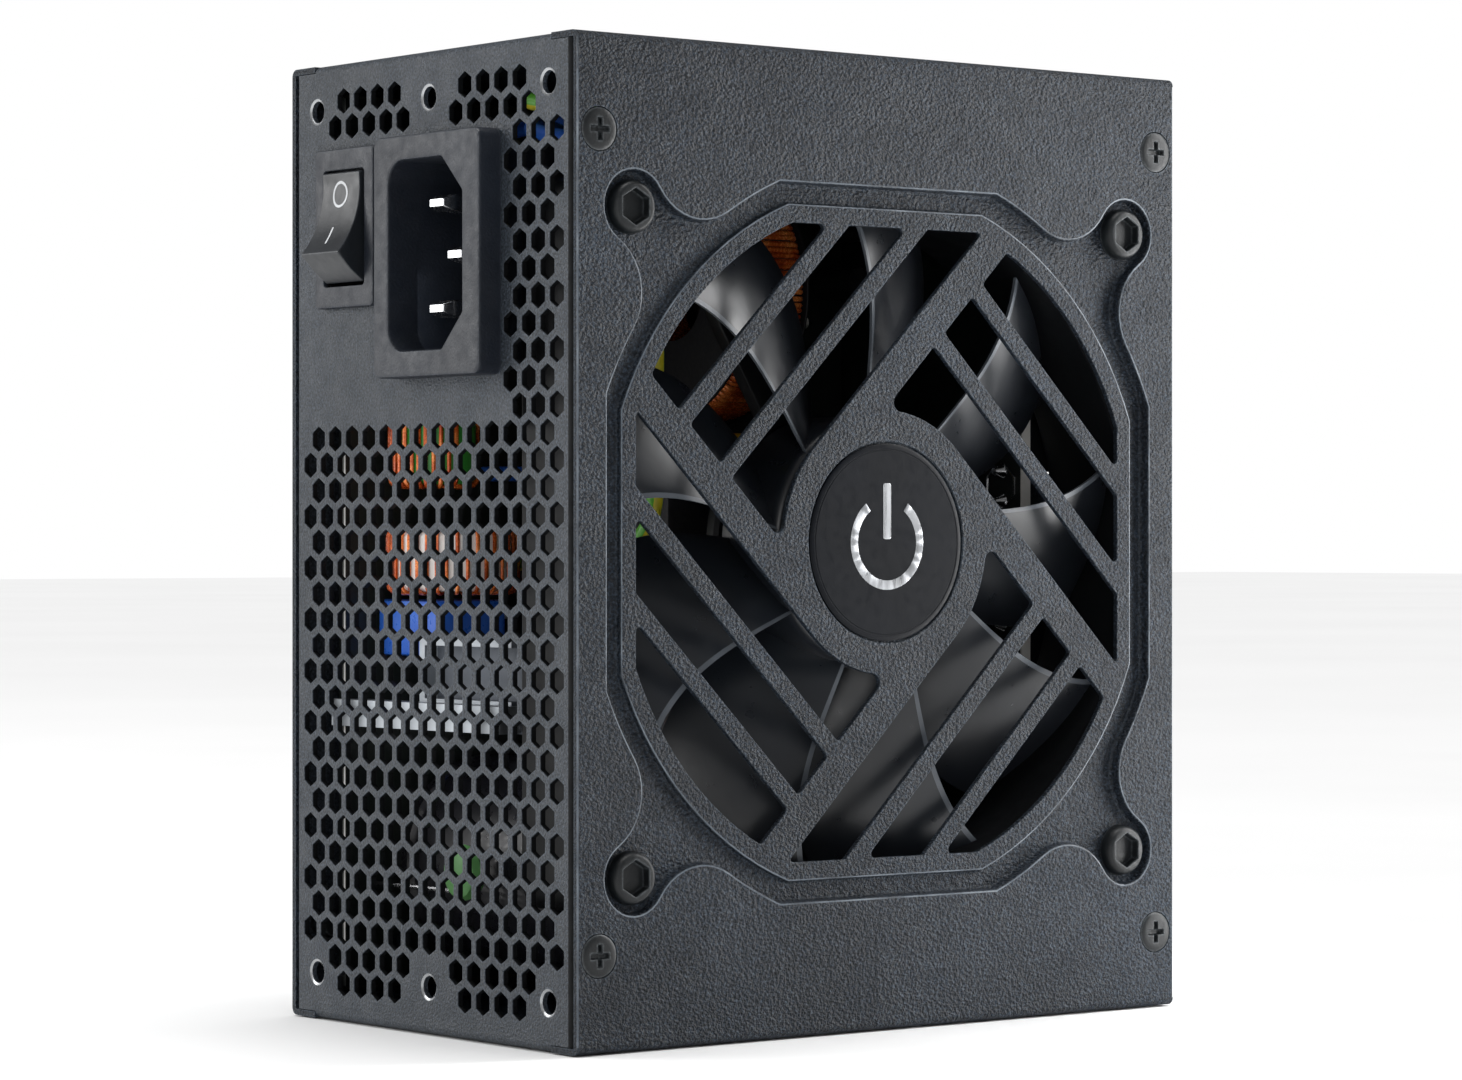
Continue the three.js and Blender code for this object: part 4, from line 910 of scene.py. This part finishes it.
def fan_rotor():
    """The rotor: a cup with nine swept blades, smooth from hub to tip."""
    bm, low, high = mesh_and_box("fan_rotor")
    front, hub, tip = low.y, 16.3, 43
    if abs(high.x - tip) > 1:
        raise ValueError("the rotor isn't the size this script expects")
    turned(bm, "y", FAN_CENTRE, [(0, front), (hub - 1.6, front), (hub - 0.8, front + 0.18),
            (hub - 0.2, front + 0.7), (hub, front + 1.5), (hub, -17.4), (hub - 1.5, -17.4),
            (hub - 1.5, front + 1.5), (3, front + 1.5), (3, front + 3.4), (1.6, front + 3.4),
            (1.6, front + 1.6)], 96)
    stations, chords, thick = 18, 14, 0.5
    deep = -18.2 - (front + 0.6)
    for number in range(9):
        sheets = []
        for sign in (-1, 1):
            rows = []
            for i in range(stations + 1):
                r = hub - 0.6 + (tip - hub + 0.6) * i / stations
                lead = 90 + 40 * number + 4 * ((r - 29) / 13) ** 2
                sweep = 36 - 9 * (r - hub) / (tip - hub)
                row = []
                for j in range(chords + 1):
                    s = (j / chords) ** 1.25
                    a = math.radians(lead - sweep * s)
                    swell = thick * math.sin(math.pi * min(0.93, 0.1 + 0.85 * s)) ** 0.6
                    row.append((r * math.cos(a), front + 0.6 + deep * s * (0.8 + 0.2 * s) + sign
                            * swell, MID_Z + r * math.sin(a)))
                rows.append(row)
            # The strip at each blade face's leading edge takes the lighter edge plastic, a painted
            # highlight.
            loft(bm, [row[:2] for row in rows], 1, closed=False)
            loft(bm, [row[1:] for row in rows], closed=False)
            sheets.append(rows)
        a, b = sheets
        loft(bm, [a[-1], b[-1]], closed=False)
        # The leading edge's closure takes the same painted highlight; the trailing edge's doesn't.
        for j, edge in ((0, 1), (chords, 0)):
            loft(bm, [[row[j] for row in a], [row[j] for row in b]], edge, closed=False)
    stand_in(bm, "fan_rotor", [FAN_PLASTIC, BLADE_EDGE_HIGHLIGHT], "fan_plastic", "fan", smooth=50)


def fan_shaft():
    bm, low, high = mesh_and_box("fan_shaft")
    turned(bm, "y", FAN_CENTRE, [(0, low.y), (1.3, low.y), (1.5, low.y + 0.2), (1.5, high.y - 0.2),
            (1.3, high.y), (0, high.y)], 32)
    stand_in(bm, "fan_shaft", BARE_STEEL, "tinned_metal", "fan")


def ring_profile(inner, outer, front, back):
    """The section of a plain turned ring with softened rims."""
    rim = 0.2
    return [(inner, front + rim), (inner + rim, front), (outer - rim, front), (outer, front + rim),
            (outer, back - rim), (outer - rim, back), (inner + rim, back), (inner, back - rim),
            (inner, front + rim)]


def magnet_ring():
    bm, low, high = mesh_and_box("fan_magnet_ring")
    turned(bm, "y", FAN_CENTRE, ring_profile(13, 14.5, low.y, high.y), 48)
    stand_in(bm, "fan_magnet_ring", FERRITE, "ferrite", "fan")


def fan_stator():
    """Four wound poles round the bearing, which sits in the frame's tube."""
    bm, low, high = mesh_and_box("fan_stator")
    mid = (low.y + high.y) / 2
    for i in range(4):
        a = math.radians(90 * i)
        c, s = math.cos(a), math.sin(a)
        at = lambda p, q: (p * c - q * s, MID_Z + p * s + q * c)
        plate(bm, "y", mid - 1, mid + 1, [at(4.7, -1.6), at(10.8, -1.6), at(10.8, 1.6),
                at(4.7, 1.6)], edge=0.1, material=1)
        shoe = arc(0, 0, 12.2, -38, 38, 10) + arc(0, 0, 11, 38, -38, 10)
        plate(bm, "y", mid - 1.6, mid + 1.6, [at(*p) for p in shoe], edge=0.1, material=1)
        for k in range(11):
            reach = 5.6 + 0.5 * k
            u, v = at(reach, 0)
            loop = rounded_box(-2.3, -2.3, 2.3, 2.3, 0.7, 3)
            tube(bm, [(u - s * q, mid + p, v + c * q) for p, q in loop], 0.25, 6, closed=True)
    bearing = ring_profile(1.6, 3, low.y, high.y + 1.6)
    turned(bm, "y", FAN_CENTRE, bearing, 48, material=2)
    stand_in(bm, "fan_stator", [COPPER, FERRITE, BRONZE], "copper_wire", smooth=60)


def badge():
    """A lacquered disc with a silver rim and a plain power symbol."""
    bm, low, high = mesh_and_box("grille_badge")
    r = BADGE_RADIUS
    turned(bm, "y", FAN_CENTRE, [(0, low.y), (r - 0.9, low.y), (r - 0.85, low.y + 0.05),
            (r - 0.7, low.y + 0.05), (r - 0.65, low.y), (r - 0.2, low.y + 0.02), (r, low.y + 0.15),
            (r, high.y), (0, high.y)], 96)
    top, mark = low.y - 0.04, 1
    lines = arc(0, MID_Z, 6.1, 125, 415, 48), arc(0, MID_Z, 4.9, 415, 125, 48)
    plate(bm, "y", top, low.y + 0.02, lines[0] + lines[1], edge=0.02, material=mark)
    plate(bm, "y", top, low.y + 0.02, rounded_box(-0.65, MID_Z + 0.4, 0.65, MID_Z + 7.6, 0.3),
            edge=0.02, material=mark)
    stand_in(bm, "grille_badge", [BADGE, SILVER], "badge", weld=5e-4)


# ---- outputs ----
def output_socket(node):
    """A shroud with two rows of keyed cells and a contact in each."""
    bm, low, high = mesh_and_box(node)
    y, columns = (low.y + high.y) / 2, round((high.z - low.z - 1.6) / CELL)
    front, floor = high.x, low.x + 1
    outer = rounded_box(low.y, low.z, high.y, high.z, 0.4, 3)
    cells = []
    for row in (-1, 1):
        for i in range(columns):
            cy, cz = y + row * CELL / 2, (low.z + high.z) / 2 + (i - (columns - 1) / 2) * CELL
            h = CELL / 2 - 0.32
            corner = box(cy - h, cz - h, cy + h, cz + h)
            cells.append(softened(corner, 0.9 if (i + row) % 3 else 0.15, 2))
    deck = front - 1.6
    mouth = rounded_box(low.y + 0.8, low.z + 0.8, high.y - 0.8, high.z - 0.8, 0.3, 3)
    fill(bm, "x", front, [offset(outer, -0.2), offset(mouth, 0.15)])
    walls(bm, "x", outer, [(-0.2, front), (0, front - 0.2), (0, low.x)])
    walls(bm, "x", mouth, [(0.15, front), (0, front - 0.15), (0, deck)])
    fill(bm, "x", deck, [mouth, *[offset(cell, 0.08) for cell in cells]])
    fill(bm, "x", low.x, [outer])
    for cell in cells:
        walls(bm, "x", cell, [(0.08, deck), (0, deck - 0.1), (0, floor)])
        fill(bm, "x", floor, [cell])
        cy = sum(p[0] for p in cell) / len(cell)
        cz = sum(p[1] for p in cell) / len(cell)
        rings = [ring_of("x", rounded_box(cy - w, cz - w, cy + w, cz + w, w / 3, 2), x)
                for w, x in ((0.55, floor - 0.1), (0.55, deck - 1.3), (0.25, deck - 0.6))]
        loft(bm, rings, 1)
        cap(bm, rings[-1], 1)
    latch = (low.z + high.z) / 2
    block(bm, (front - 2.4, high.y - 0.05, latch - 1.7), (front - 0.3, high.y + 0.25, latch + 1.7),
            0.1)
    stand_in(bm, node, [DARK_PLASTIC, TIN], "black_plastic")


# ---- inside ----
def wound_ring(node, axis, inner, outer, thick, turns, gauge, bare=0, facing=0):
    """Wire wound round a core. bare is the angle left unwound, about facing."""
    bm, low, high = mesh_and_box(node)
    centre = (low + high) / 2
    middle = centre.x if axis == "x" else centre.z
    cu, cv = (centre.y, centre.z) if axis == "x" else (centre.x, centre.y)
    t, soft = thick / 2, 0.8
    section = [(inner + soft, -t), (outer - soft, -t), (outer, soft - t), (outer, t - soft),
            (outer - soft, t), (inner + soft, t), (inner, t - soft), (inner, soft - t),
            (inner + soft, -t)]
    turned(bm, axis, centre, [(r, middle + along) for r, along in section], 48, 1)
    g = gauge / 2
    loop = rounded_box(-t - g, inner - g, t + g, outer + g, 1.2, 3)
    for k in range(turns):
        angle = math.radians(facing + bare / 2 + (360 - bare) * (k + 0.5) / turns
                + random.uniform(-0.5, 0.5))
        path = [point(axis, cu + r * math.cos(angle), cv + r * math.sin(angle), middle + along)
                for along, r in loop]
        tube(bm, path, g, 6, closed=True)
    return bm, centre


def choke(node, core, *sizes, shield=None, slot="copper_wire", **places):
    """A wound ring, with a dark washer on each side if shield gives its two radii."""
    bm, centre = wound_ring(node, *sizes, **places)
    if shield:
        low, high = node_box(node)
        washer = [circle(centre.y, centre.z, r, 64) for r in reversed(shield)]
        for x0, x1 in ((low.x, low.x + 0.3), (high.x - 0.3, high.x)):
            plate(bm, "x", x0, x1, washer[0], washer[1:], edge=0.05, material=2)
    stand_in(bm, node, [COPPER, core, MOULDED_BLACK], slot, smooth=60)


def can_capacitor(node, finish, slot):
    """A sleeved can with a rolled top, a vent cross and a crimp at its foot."""
    bm, low, high = mesh_and_box(node)
    c = (low + high) / 2
    r = (high.x - low.x) / 2
    top, foot = low.y, high.y
    turned(bm, "y", c, [(0, top + 0.25), (r * 0.78, top + 0.25), (r * 0.82, top + 0.1)], 64, 1)
    turned(bm, "y", c, [(r * 0.82, top + 0.1), (r - 0.7, top), (r - 0.2, top + 0.2), (r, top + 0.8),
            (r, foot - 3.2), (r - 0.35, foot - 2.9), (r - 0.6, foot - 2.4), (r - 0.35, foot - 1.9),
            (r, foot - 1.6), (r, foot - 0.2), (r - 0.3, foot), (0, foot)], 64)
    for u, v in ((1, 0), (0, 1)):
        block(bm, (c.x - 0.1 - u * r * 0.55, top + 0.2, c.z - 0.1 - v * r * 0.55),
              (c.x + 0.1 + u * r * 0.55, top + 0.27, c.z + 0.1 + v * r * 0.55), 0.02, 2)
    band = [[(c.x + (r + 0.02) * math.cos(math.radians(a + 20)), y,
            c.z + (r + 0.02) * math.sin(math.radians(a + 20))) for a in range(-16, 17, 4)]
            for y in (top + 1.4, foot - 4)]
    loft(bm, band, 3, closed=False)
    stand_in(bm, node, [finish, ALUMINIUM, FERRITE, MARK_WHITE], slot)


def transformer(node):
    """A ferrite core over a taped winding on a pinned bobbin."""
    bm, low, high = mesh_and_box(node)
    c = (low + high) / 2
    half = (high.x - low.x) / 2
    winding = half * 0.64
    plate(bm, "y", low.y + 3, high.y - 5, rounded_box(c.x - winding, low.z, c.x + winding, high.z,
            2.5, 5), edge=0.5)
    for y in (low.y + 8, low.y + 13, low.y + 18):
        if y < high.y - 6:
            walls(bm, "y", rounded_box(c.x - winding, low.z, c.x + winding, high.z, 2.5, 5),
                  [(0, y - 0.3), (0.06, y), (0, y + 0.3)])
    core = rounded_box(low.x, low.z + 4, high.x, high.z - 4, 0.6, 2)
    plate(bm, "y", low.y, low.y + 3.2, core, edge=0.3, material=1)
    for x0, x1 in ((low.x, low.x + half * 0.36), (high.x - half * 0.36, high.x)):
        block(bm, (x0, low.y + 3.1, low.z + 4), (x1, high.y - 4, high.z - 4), 0.3, 1)
    block(bm, (low.x, high.y - 5, low.z + 1), (high.x, high.y - 1, high.z - 1), 0.4, 2)
    for i in range(5):
        x = low.x + (high.x - low.x) * (i + 0.5) / 5
        for z in (low.z + 2, high.z - 2):
            block(bm, (x - 0.4, high.y - 1, z - 0.4), (x + 0.4, high.y, z + 0.4), 0.1, 3)
    stand_in(bm, node, [TAPE, FERRITE, MOULDED_BLACK, TIN], "transformer_tape")


def film_capacitor():
    bm, low, high = mesh_and_box("film_capacitor")
    block(bm, low, (high.x, high.y - 1, high.z), 0.5)
    z = (low.z + high.z) / 2
    for x in (low.x + 2, high.x - 2):
        block(bm, (x - 0.4, high.y - 1.1, z - 0.4), (x + 0.4, high.y, z + 0.4), 0.1, 1)
    stand_in(bm, "film_capacitor", [BLUE_EPOXY, TIN], "film_blue")


def disc_capacitor():
    bm, low, high = mesh_and_box("disc_capacitor")
    c = (low + high) / 2
    r, t = (high.z - low.z) / 2, (high.x - low.x) / 2
    turned(bm, "x", c, [(0, c.x - t), (r * 0.7, c.x - t * 0.96), (r * 0.9, c.x - t * 0.7), (r, c.x),
            (r * 0.9, c.x + t * 0.7), (r * 0.7, c.x + t * 0.96), (0, c.x + t)], 40)
    for z in (c.z - 2.5, c.z + 2.5):
        tube(bm, [(c.x, c.y + 3, z), (c.x, c.y + 5, z), (c.x, 24.2, z)], 0.35, 8, material=1)
    stand_in(bm, "disc_capacitor", [DISC_GREEN, TIN], "disc_green")


def bridge_rectifier():
    bm, low, high = mesh_and_box("bridge_rectifier")
    block(bm, low, high, 0.4)
    z = (low.z + high.z) / 2
    for i in range(4):
        x = low.x + (high.x - low.x) * (i + 0.5) / 4
        block(bm, (x - 0.5, high.y - 0.1, z - 0.3), (x + 0.5, high.y + 3.1, z + 0.3), 0.1, 1)
    stand_in(bm, "bridge_rectifier", [MOULDED_BLACK, TIN], "rectifier_black")


def insulated_wire(node, points, finish, slot, stripe=None):
    """A round insulated wire, with a second colour wound round it where stripe is given."""
    path = smooth_path(points, 8)
    bm = bmesh.new()
    radius, sides = 1.1, 14
    tube(bm, path, radius, sides)
    if stripe:
        bm.faces.ensure_lookup_table()
        for number, face in enumerate(bm.faces):
            if number % sides in (3, 4, 5, 10, 11, 12):
                face.material_index = 1
    stand_in(bm, node, [finish, stripe] if stripe else finish, slot, smooth=60)


def primary_heatsink():
    """The channel-shaped heatsink: bright flanges round a web, and fins behind it, both in painted
    shade.
    """
    piece = refined("primary_heatsink", ALUMINIUM, bevel=0.12, slot="heatsink_metal")
    piece.data.materials.append(SHADED_ALUMINIUM)
    web_x, reach, fins_x = -43, 0.5, -44
    # The web and the fins behind it take the darker aluminium, painted shade.
    for face in piece.data.polygons:
        x = face.center.x / MM
        on_web = face.normal.x < -0.9 and abs(x - web_x) < reach
        if on_web or x > fins_x and face.normal.y < 0.5:
            face.material_index = 1


def board_parts():
    """Small parts on the component side of the main board and on the socket board."""
    bm = bmesh.new()
    board = node_box("main_board")[0].y
    taken = [node_box(n) for n in ON_BOARD]
    placed, wanted, room = 0, 46, 2.2
    while placed < wanted:
        x, z = random.uniform(-42, 36), random.uniform(6, 118)
        if any(a.x - room < x < b.x + room and a.z - room < z < b.z + room for a, b in taken):
            continue
        kind = placed % 4
        if kind == 0:
            tube(bm, [(x - 2.6, board - 0.1, z), (x - 2.4, board - 1.6, z),
                    (x + 2.4, board - 1.6, z), (x + 2.6, board - 0.1, z)], 0.3, 6, material=1)
            turned(bm, "x", (0, board - 1.6, z), [(0.2, x - 1.8), (0.85, x - 1.5), (0.75, x),
                    (0.85, x + 1.5), (0.2, x + 1.8)], 14, 2)
        elif kind == 1:
            turned(bm, "y", (x, 0, z), [(0, board - 8), (2, board - 8), (2.2, board - 7.7),
                    (2.2, board - 0.2), (0, board - 0.1)], 20, 0)
        elif kind == 2:
            block(bm, (x - 1.4, board - 0.9, z - 0.8), (x + 1.4, board - 0.05, z + 0.8), 0.15, 0)
        else:
            block(bm, (x - 1.8, board - 6, z - 1), (x + 1.8, board - 0.1, z + 1), 0.3, 3)
        taken.append((Vector((x - 1.5, 0, z - 1.5)), Vector((x + 1.5, 0, z + 1.5))))
        placed += 1
    low, high = node_box("main_board")
    block(bm, (low.x - 0.04, low.y + 0.1, low.z + 2), (low.x + 0.2, low.y + 0.45, high.z - 2), 0.02,
            2)
    low, high = node_box("socket_board")
    for k in range(24):
        z = 9.3 + CELL * k
        turned(bm, "x", (0, -9.3, z), [(0, low.x - 1.5), (0.5, low.x - 1.4), (0.9, low.x - 0.6),
                (1.25, low.x + 0.05)], 14, 1)
    frame_of_pad = arc(-9.3, 70.2, 3, 22.5, 337.5, 7)
    tube(bm, [(low.x - 0.1, y, z) for y, z in frame_of_pad], 0.22, 6, closed=True, material=1)
    block(bm, (low.x - 0.05, low.y - 0.02, low.z + 2), (low.x + 1.5, low.y + 0.3, high.z - 2), 0.02,
            4)
    finish_mesh(bm, "board_parts", [MOULDED_BLACK, TIN, WHITE_PLASTIC, BLUE_EPOXY, WHITE_PLASTIC],
            slot="tinned_metal")


# ---- assembly ----
def four(name):
    return ["%s_%d" % (name, i) for i in (1, 2, 3, 4)]


def middles(nodes):
    centres = [(low + high) / 2 for low, high in map(node_box, nodes)]
    return [(c.x, c.z) for c in centres]


FAN_SCREW_NODES, COVER_SCREW_NODES, BASE_SCREW_NODES = map(four,
        ("fan_screw", "fan_cover_screw", "base_cover_screw"))
FAN_SCREWS, COVER_SCREWS, BASE_SCREWS = map(middles,
        (FAN_SCREW_NODES, COVER_SCREW_NODES, BASE_SCREW_NODES))
PINS = ("inlet_pin_line", "inlet_pin_earth", "inlet_pin_neutral")
STANDOFFS = ((-38, 9), (-38, 88), (32, 9), (32, 116))
SOCKETS = sorted(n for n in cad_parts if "_socket_" in n)
PIVOT_X, SWITCH_CENTRE = -47.44, (17.8, 103.35)
ROCKER = {"wide": 8.7, "tilt": 17.4, "ridge": (5.55, 6.18), "sag": 1.21}
ON_BOARD = ["bulk_capacitor", "output_capacitor_a", "output_capacitor_b", "main_transformer",
        "standby_transformer", "boost_choke", "common_mode_choke", "line_choke", "film_capacitor",
        "primary_heatsink", "secondary_heatsink"]
WIRES = {"earth_wire": [(-28.4, -5.8, 98.8), (-25, -8, 104), (-26, -9.5, 111), (-33, -10.5, 116.5),
        (-41, -11.5, 118.5), (-45.4, -16, 117.6), (-44, -22, 116.6), (-37, -25, 117),
        (-28, -21, 118), (-22.5, -13, 112.5), (-21.5, -10.5, 100), (-21.5, -10, 80),
        (-22, -9.5, 65), (-23, 2, 60), (-24, 23.9, 60)],
        "neutral_wire": [(-28.2, -1.8, 105.5), (-27.5, -3.5, 111), (-33, -6, 114.6),
        (-41, -11, 115), (-45.4, -17, 113.6), (-43, -22, 112.6), (-34, -23, 113.2),
        (-27, -16, 115.5), (-24, -4, 118), (-24, 10, 118), (-24, 23.9, 117)],
        "line_wire": [(-28.2, -1.8, 92.1), (-25, 5, 94), (-27, 13, 101), (-31, 17, 105),
        (-36.4, 17.8, 107)], "fan_lead": [(36, -13.4, 104), (36, -6, 106), (34.5, 10, 106),
        (34, 23.9, 106)],}
WIRE_FINISHES = (("earth_wire", EARTH_GREEN, "wire_earth", EARTH_YELLOW),
        ("line_wire", BROWN_WIRE, "wire_brown", None),
        ("neutral_wire", BLUE_WIRE, "wire_blue", None),
        ("fan_lead", BLACK_WIRE, "wire_black", None))

fan_cover()
base_cover()
rear_panel()
socket_panel()
for screw in COVER_SCREW_NODES:
    cover_screw(screw, -1)
for screw in BASE_SCREW_NODES:
    cover_screw(screw, 1)
for screw in FAN_SCREW_NODES:
    fan_screw(screw)
inlet()
for pin in PINS:
    inlet_pin(pin)
switch_body()
rocker()
fan_frame()
fan_rotor()
fan_shaft()
magnet_ring()
fan_stator()
badge()
for socket in SOCKETS:
    output_socket(socket)
choke("boost_choke", FERRITE, "x", 8.9, 16.5, 7.6, 130, 0.75, shield=(6.5, 16.9))
choke("common_mode_choke", GREEN_COAT, "z", 3.2, 5.5, 8.6, 30, 0.6, slot="choke_green", bare=60,
        facing=300)
choke("line_choke", WHITE_PLASTIC, "z", 4.6, 8.3, 7.9, 40, 0.55)
can_capacitor("bulk_capacitor", SLEEVE, "capacitor_sleeve")
can_capacitor("output_capacitor_a", OUTPUT_SLEEVE, "output_sleeve")
can_capacitor("output_capacitor_b", OUTPUT_SLEEVE, "output_sleeve")
transformer("main_transformer")
transformer("standby_transformer")
film_capacitor()
disc_capacitor()
bridge_rectifier()
for node, finish, slot, stripe in WIRE_FINISHES:
    insulated_wire(node, WIRES[node], finish, slot, stripe)
primary_heatsink()
refined("secondary_heatsink", ALUMINIUM, bevel=0.12, slot="heatsink_metal")
board_parts()
for node in ("main_board", "socket_board"):
    refined(node, SOLDER_MASK, bevel=0.15, slot="circuit_board")
refined("insulation_sheet", PAPER, bevel=0.05, slot="insulation")
refined("fan_mode_switch", DARK_PLASTIC, bevel=0.25, slot="black_plastic")
refined("fan_mode_button", BUTTON, bevel=0.5, body="mode_button", slot="button_grey", segments=4)


# ---- studio ----
def floor():
    bm = bmesh.new()
    bmesh.ops.create_grid(bm, x_segments=4, y_segments=4, size=6)
    mesh = bpy.data.meshes.new("floor")
    bm.to_mesh(mesh)
    bm.free()
    mesh.materials.append(FLOOR)
    piece = add_object("floor", mesh)
    piece.location.z = -0.0002


def area_light(name, place, energy, width, height, target=(0, 0, 0.06)):
    light = add_object(name, bpy.data.lights.new(name, "AREA"))
    light.data.shape = "RECTANGLE"
    light.data.energy = energy
    light.data.size, light.data.size_y = width, height
    light.location = place
    light.rotation_euler = (Vector(target) - Vector(place)).to_track_quat("-Z", "Y").to_euler()


def studio():
    """A white surround that lights less than it shows, and a soft light for each face."""
    bpy.context.scene.view_settings.view_transform = "Standard"
    world = bpy.data.worlds.new("studio")
    bpy.context.scene.world = world
    world.use_nodes = True
    tree = world.node_tree
    seen = tree.nodes.new("ShaderNodeLightPath").outputs["Is Camera Ray"]
    strength = tree.nodes.new("ShaderNodeMapRange")
    strength.inputs["To Min"].default_value = 0.25
    tree.links.new(seen, strength.inputs["Value"])
    tree.links.new(strength.outputs["Result"], tree.nodes["Background"].inputs["Strength"])
    tree.nodes["Background"].inputs["Color"].default_value = (1, 1, 1, 1)
    sun = add_object("overhead", bpy.data.lights.new("overhead", "SUN"))
    sun.data.energy = 2.4
    sun.data.angle = 0.6
    area_light("fan_side", (0.13, -0.085, 0.09), 0.42, 0.05, 0.28, (0.0, -0.03, 0.1))
    area_light("rear_side", (-0.75, 0.7, 0.35), 6, 0.6, 0.6)
    area_light("front_fill", (-0.5, -0.64, 0.2), 0.6, 0.3, 0.3)
    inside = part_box("rear_panel")[0] + Vector((1.2, 38, 62)) * MM
    area_light("through_the_vents", inside, 0.0042, 0.026, 0.07, inside + Vector((1, 0, 0)))


floor()
studio()
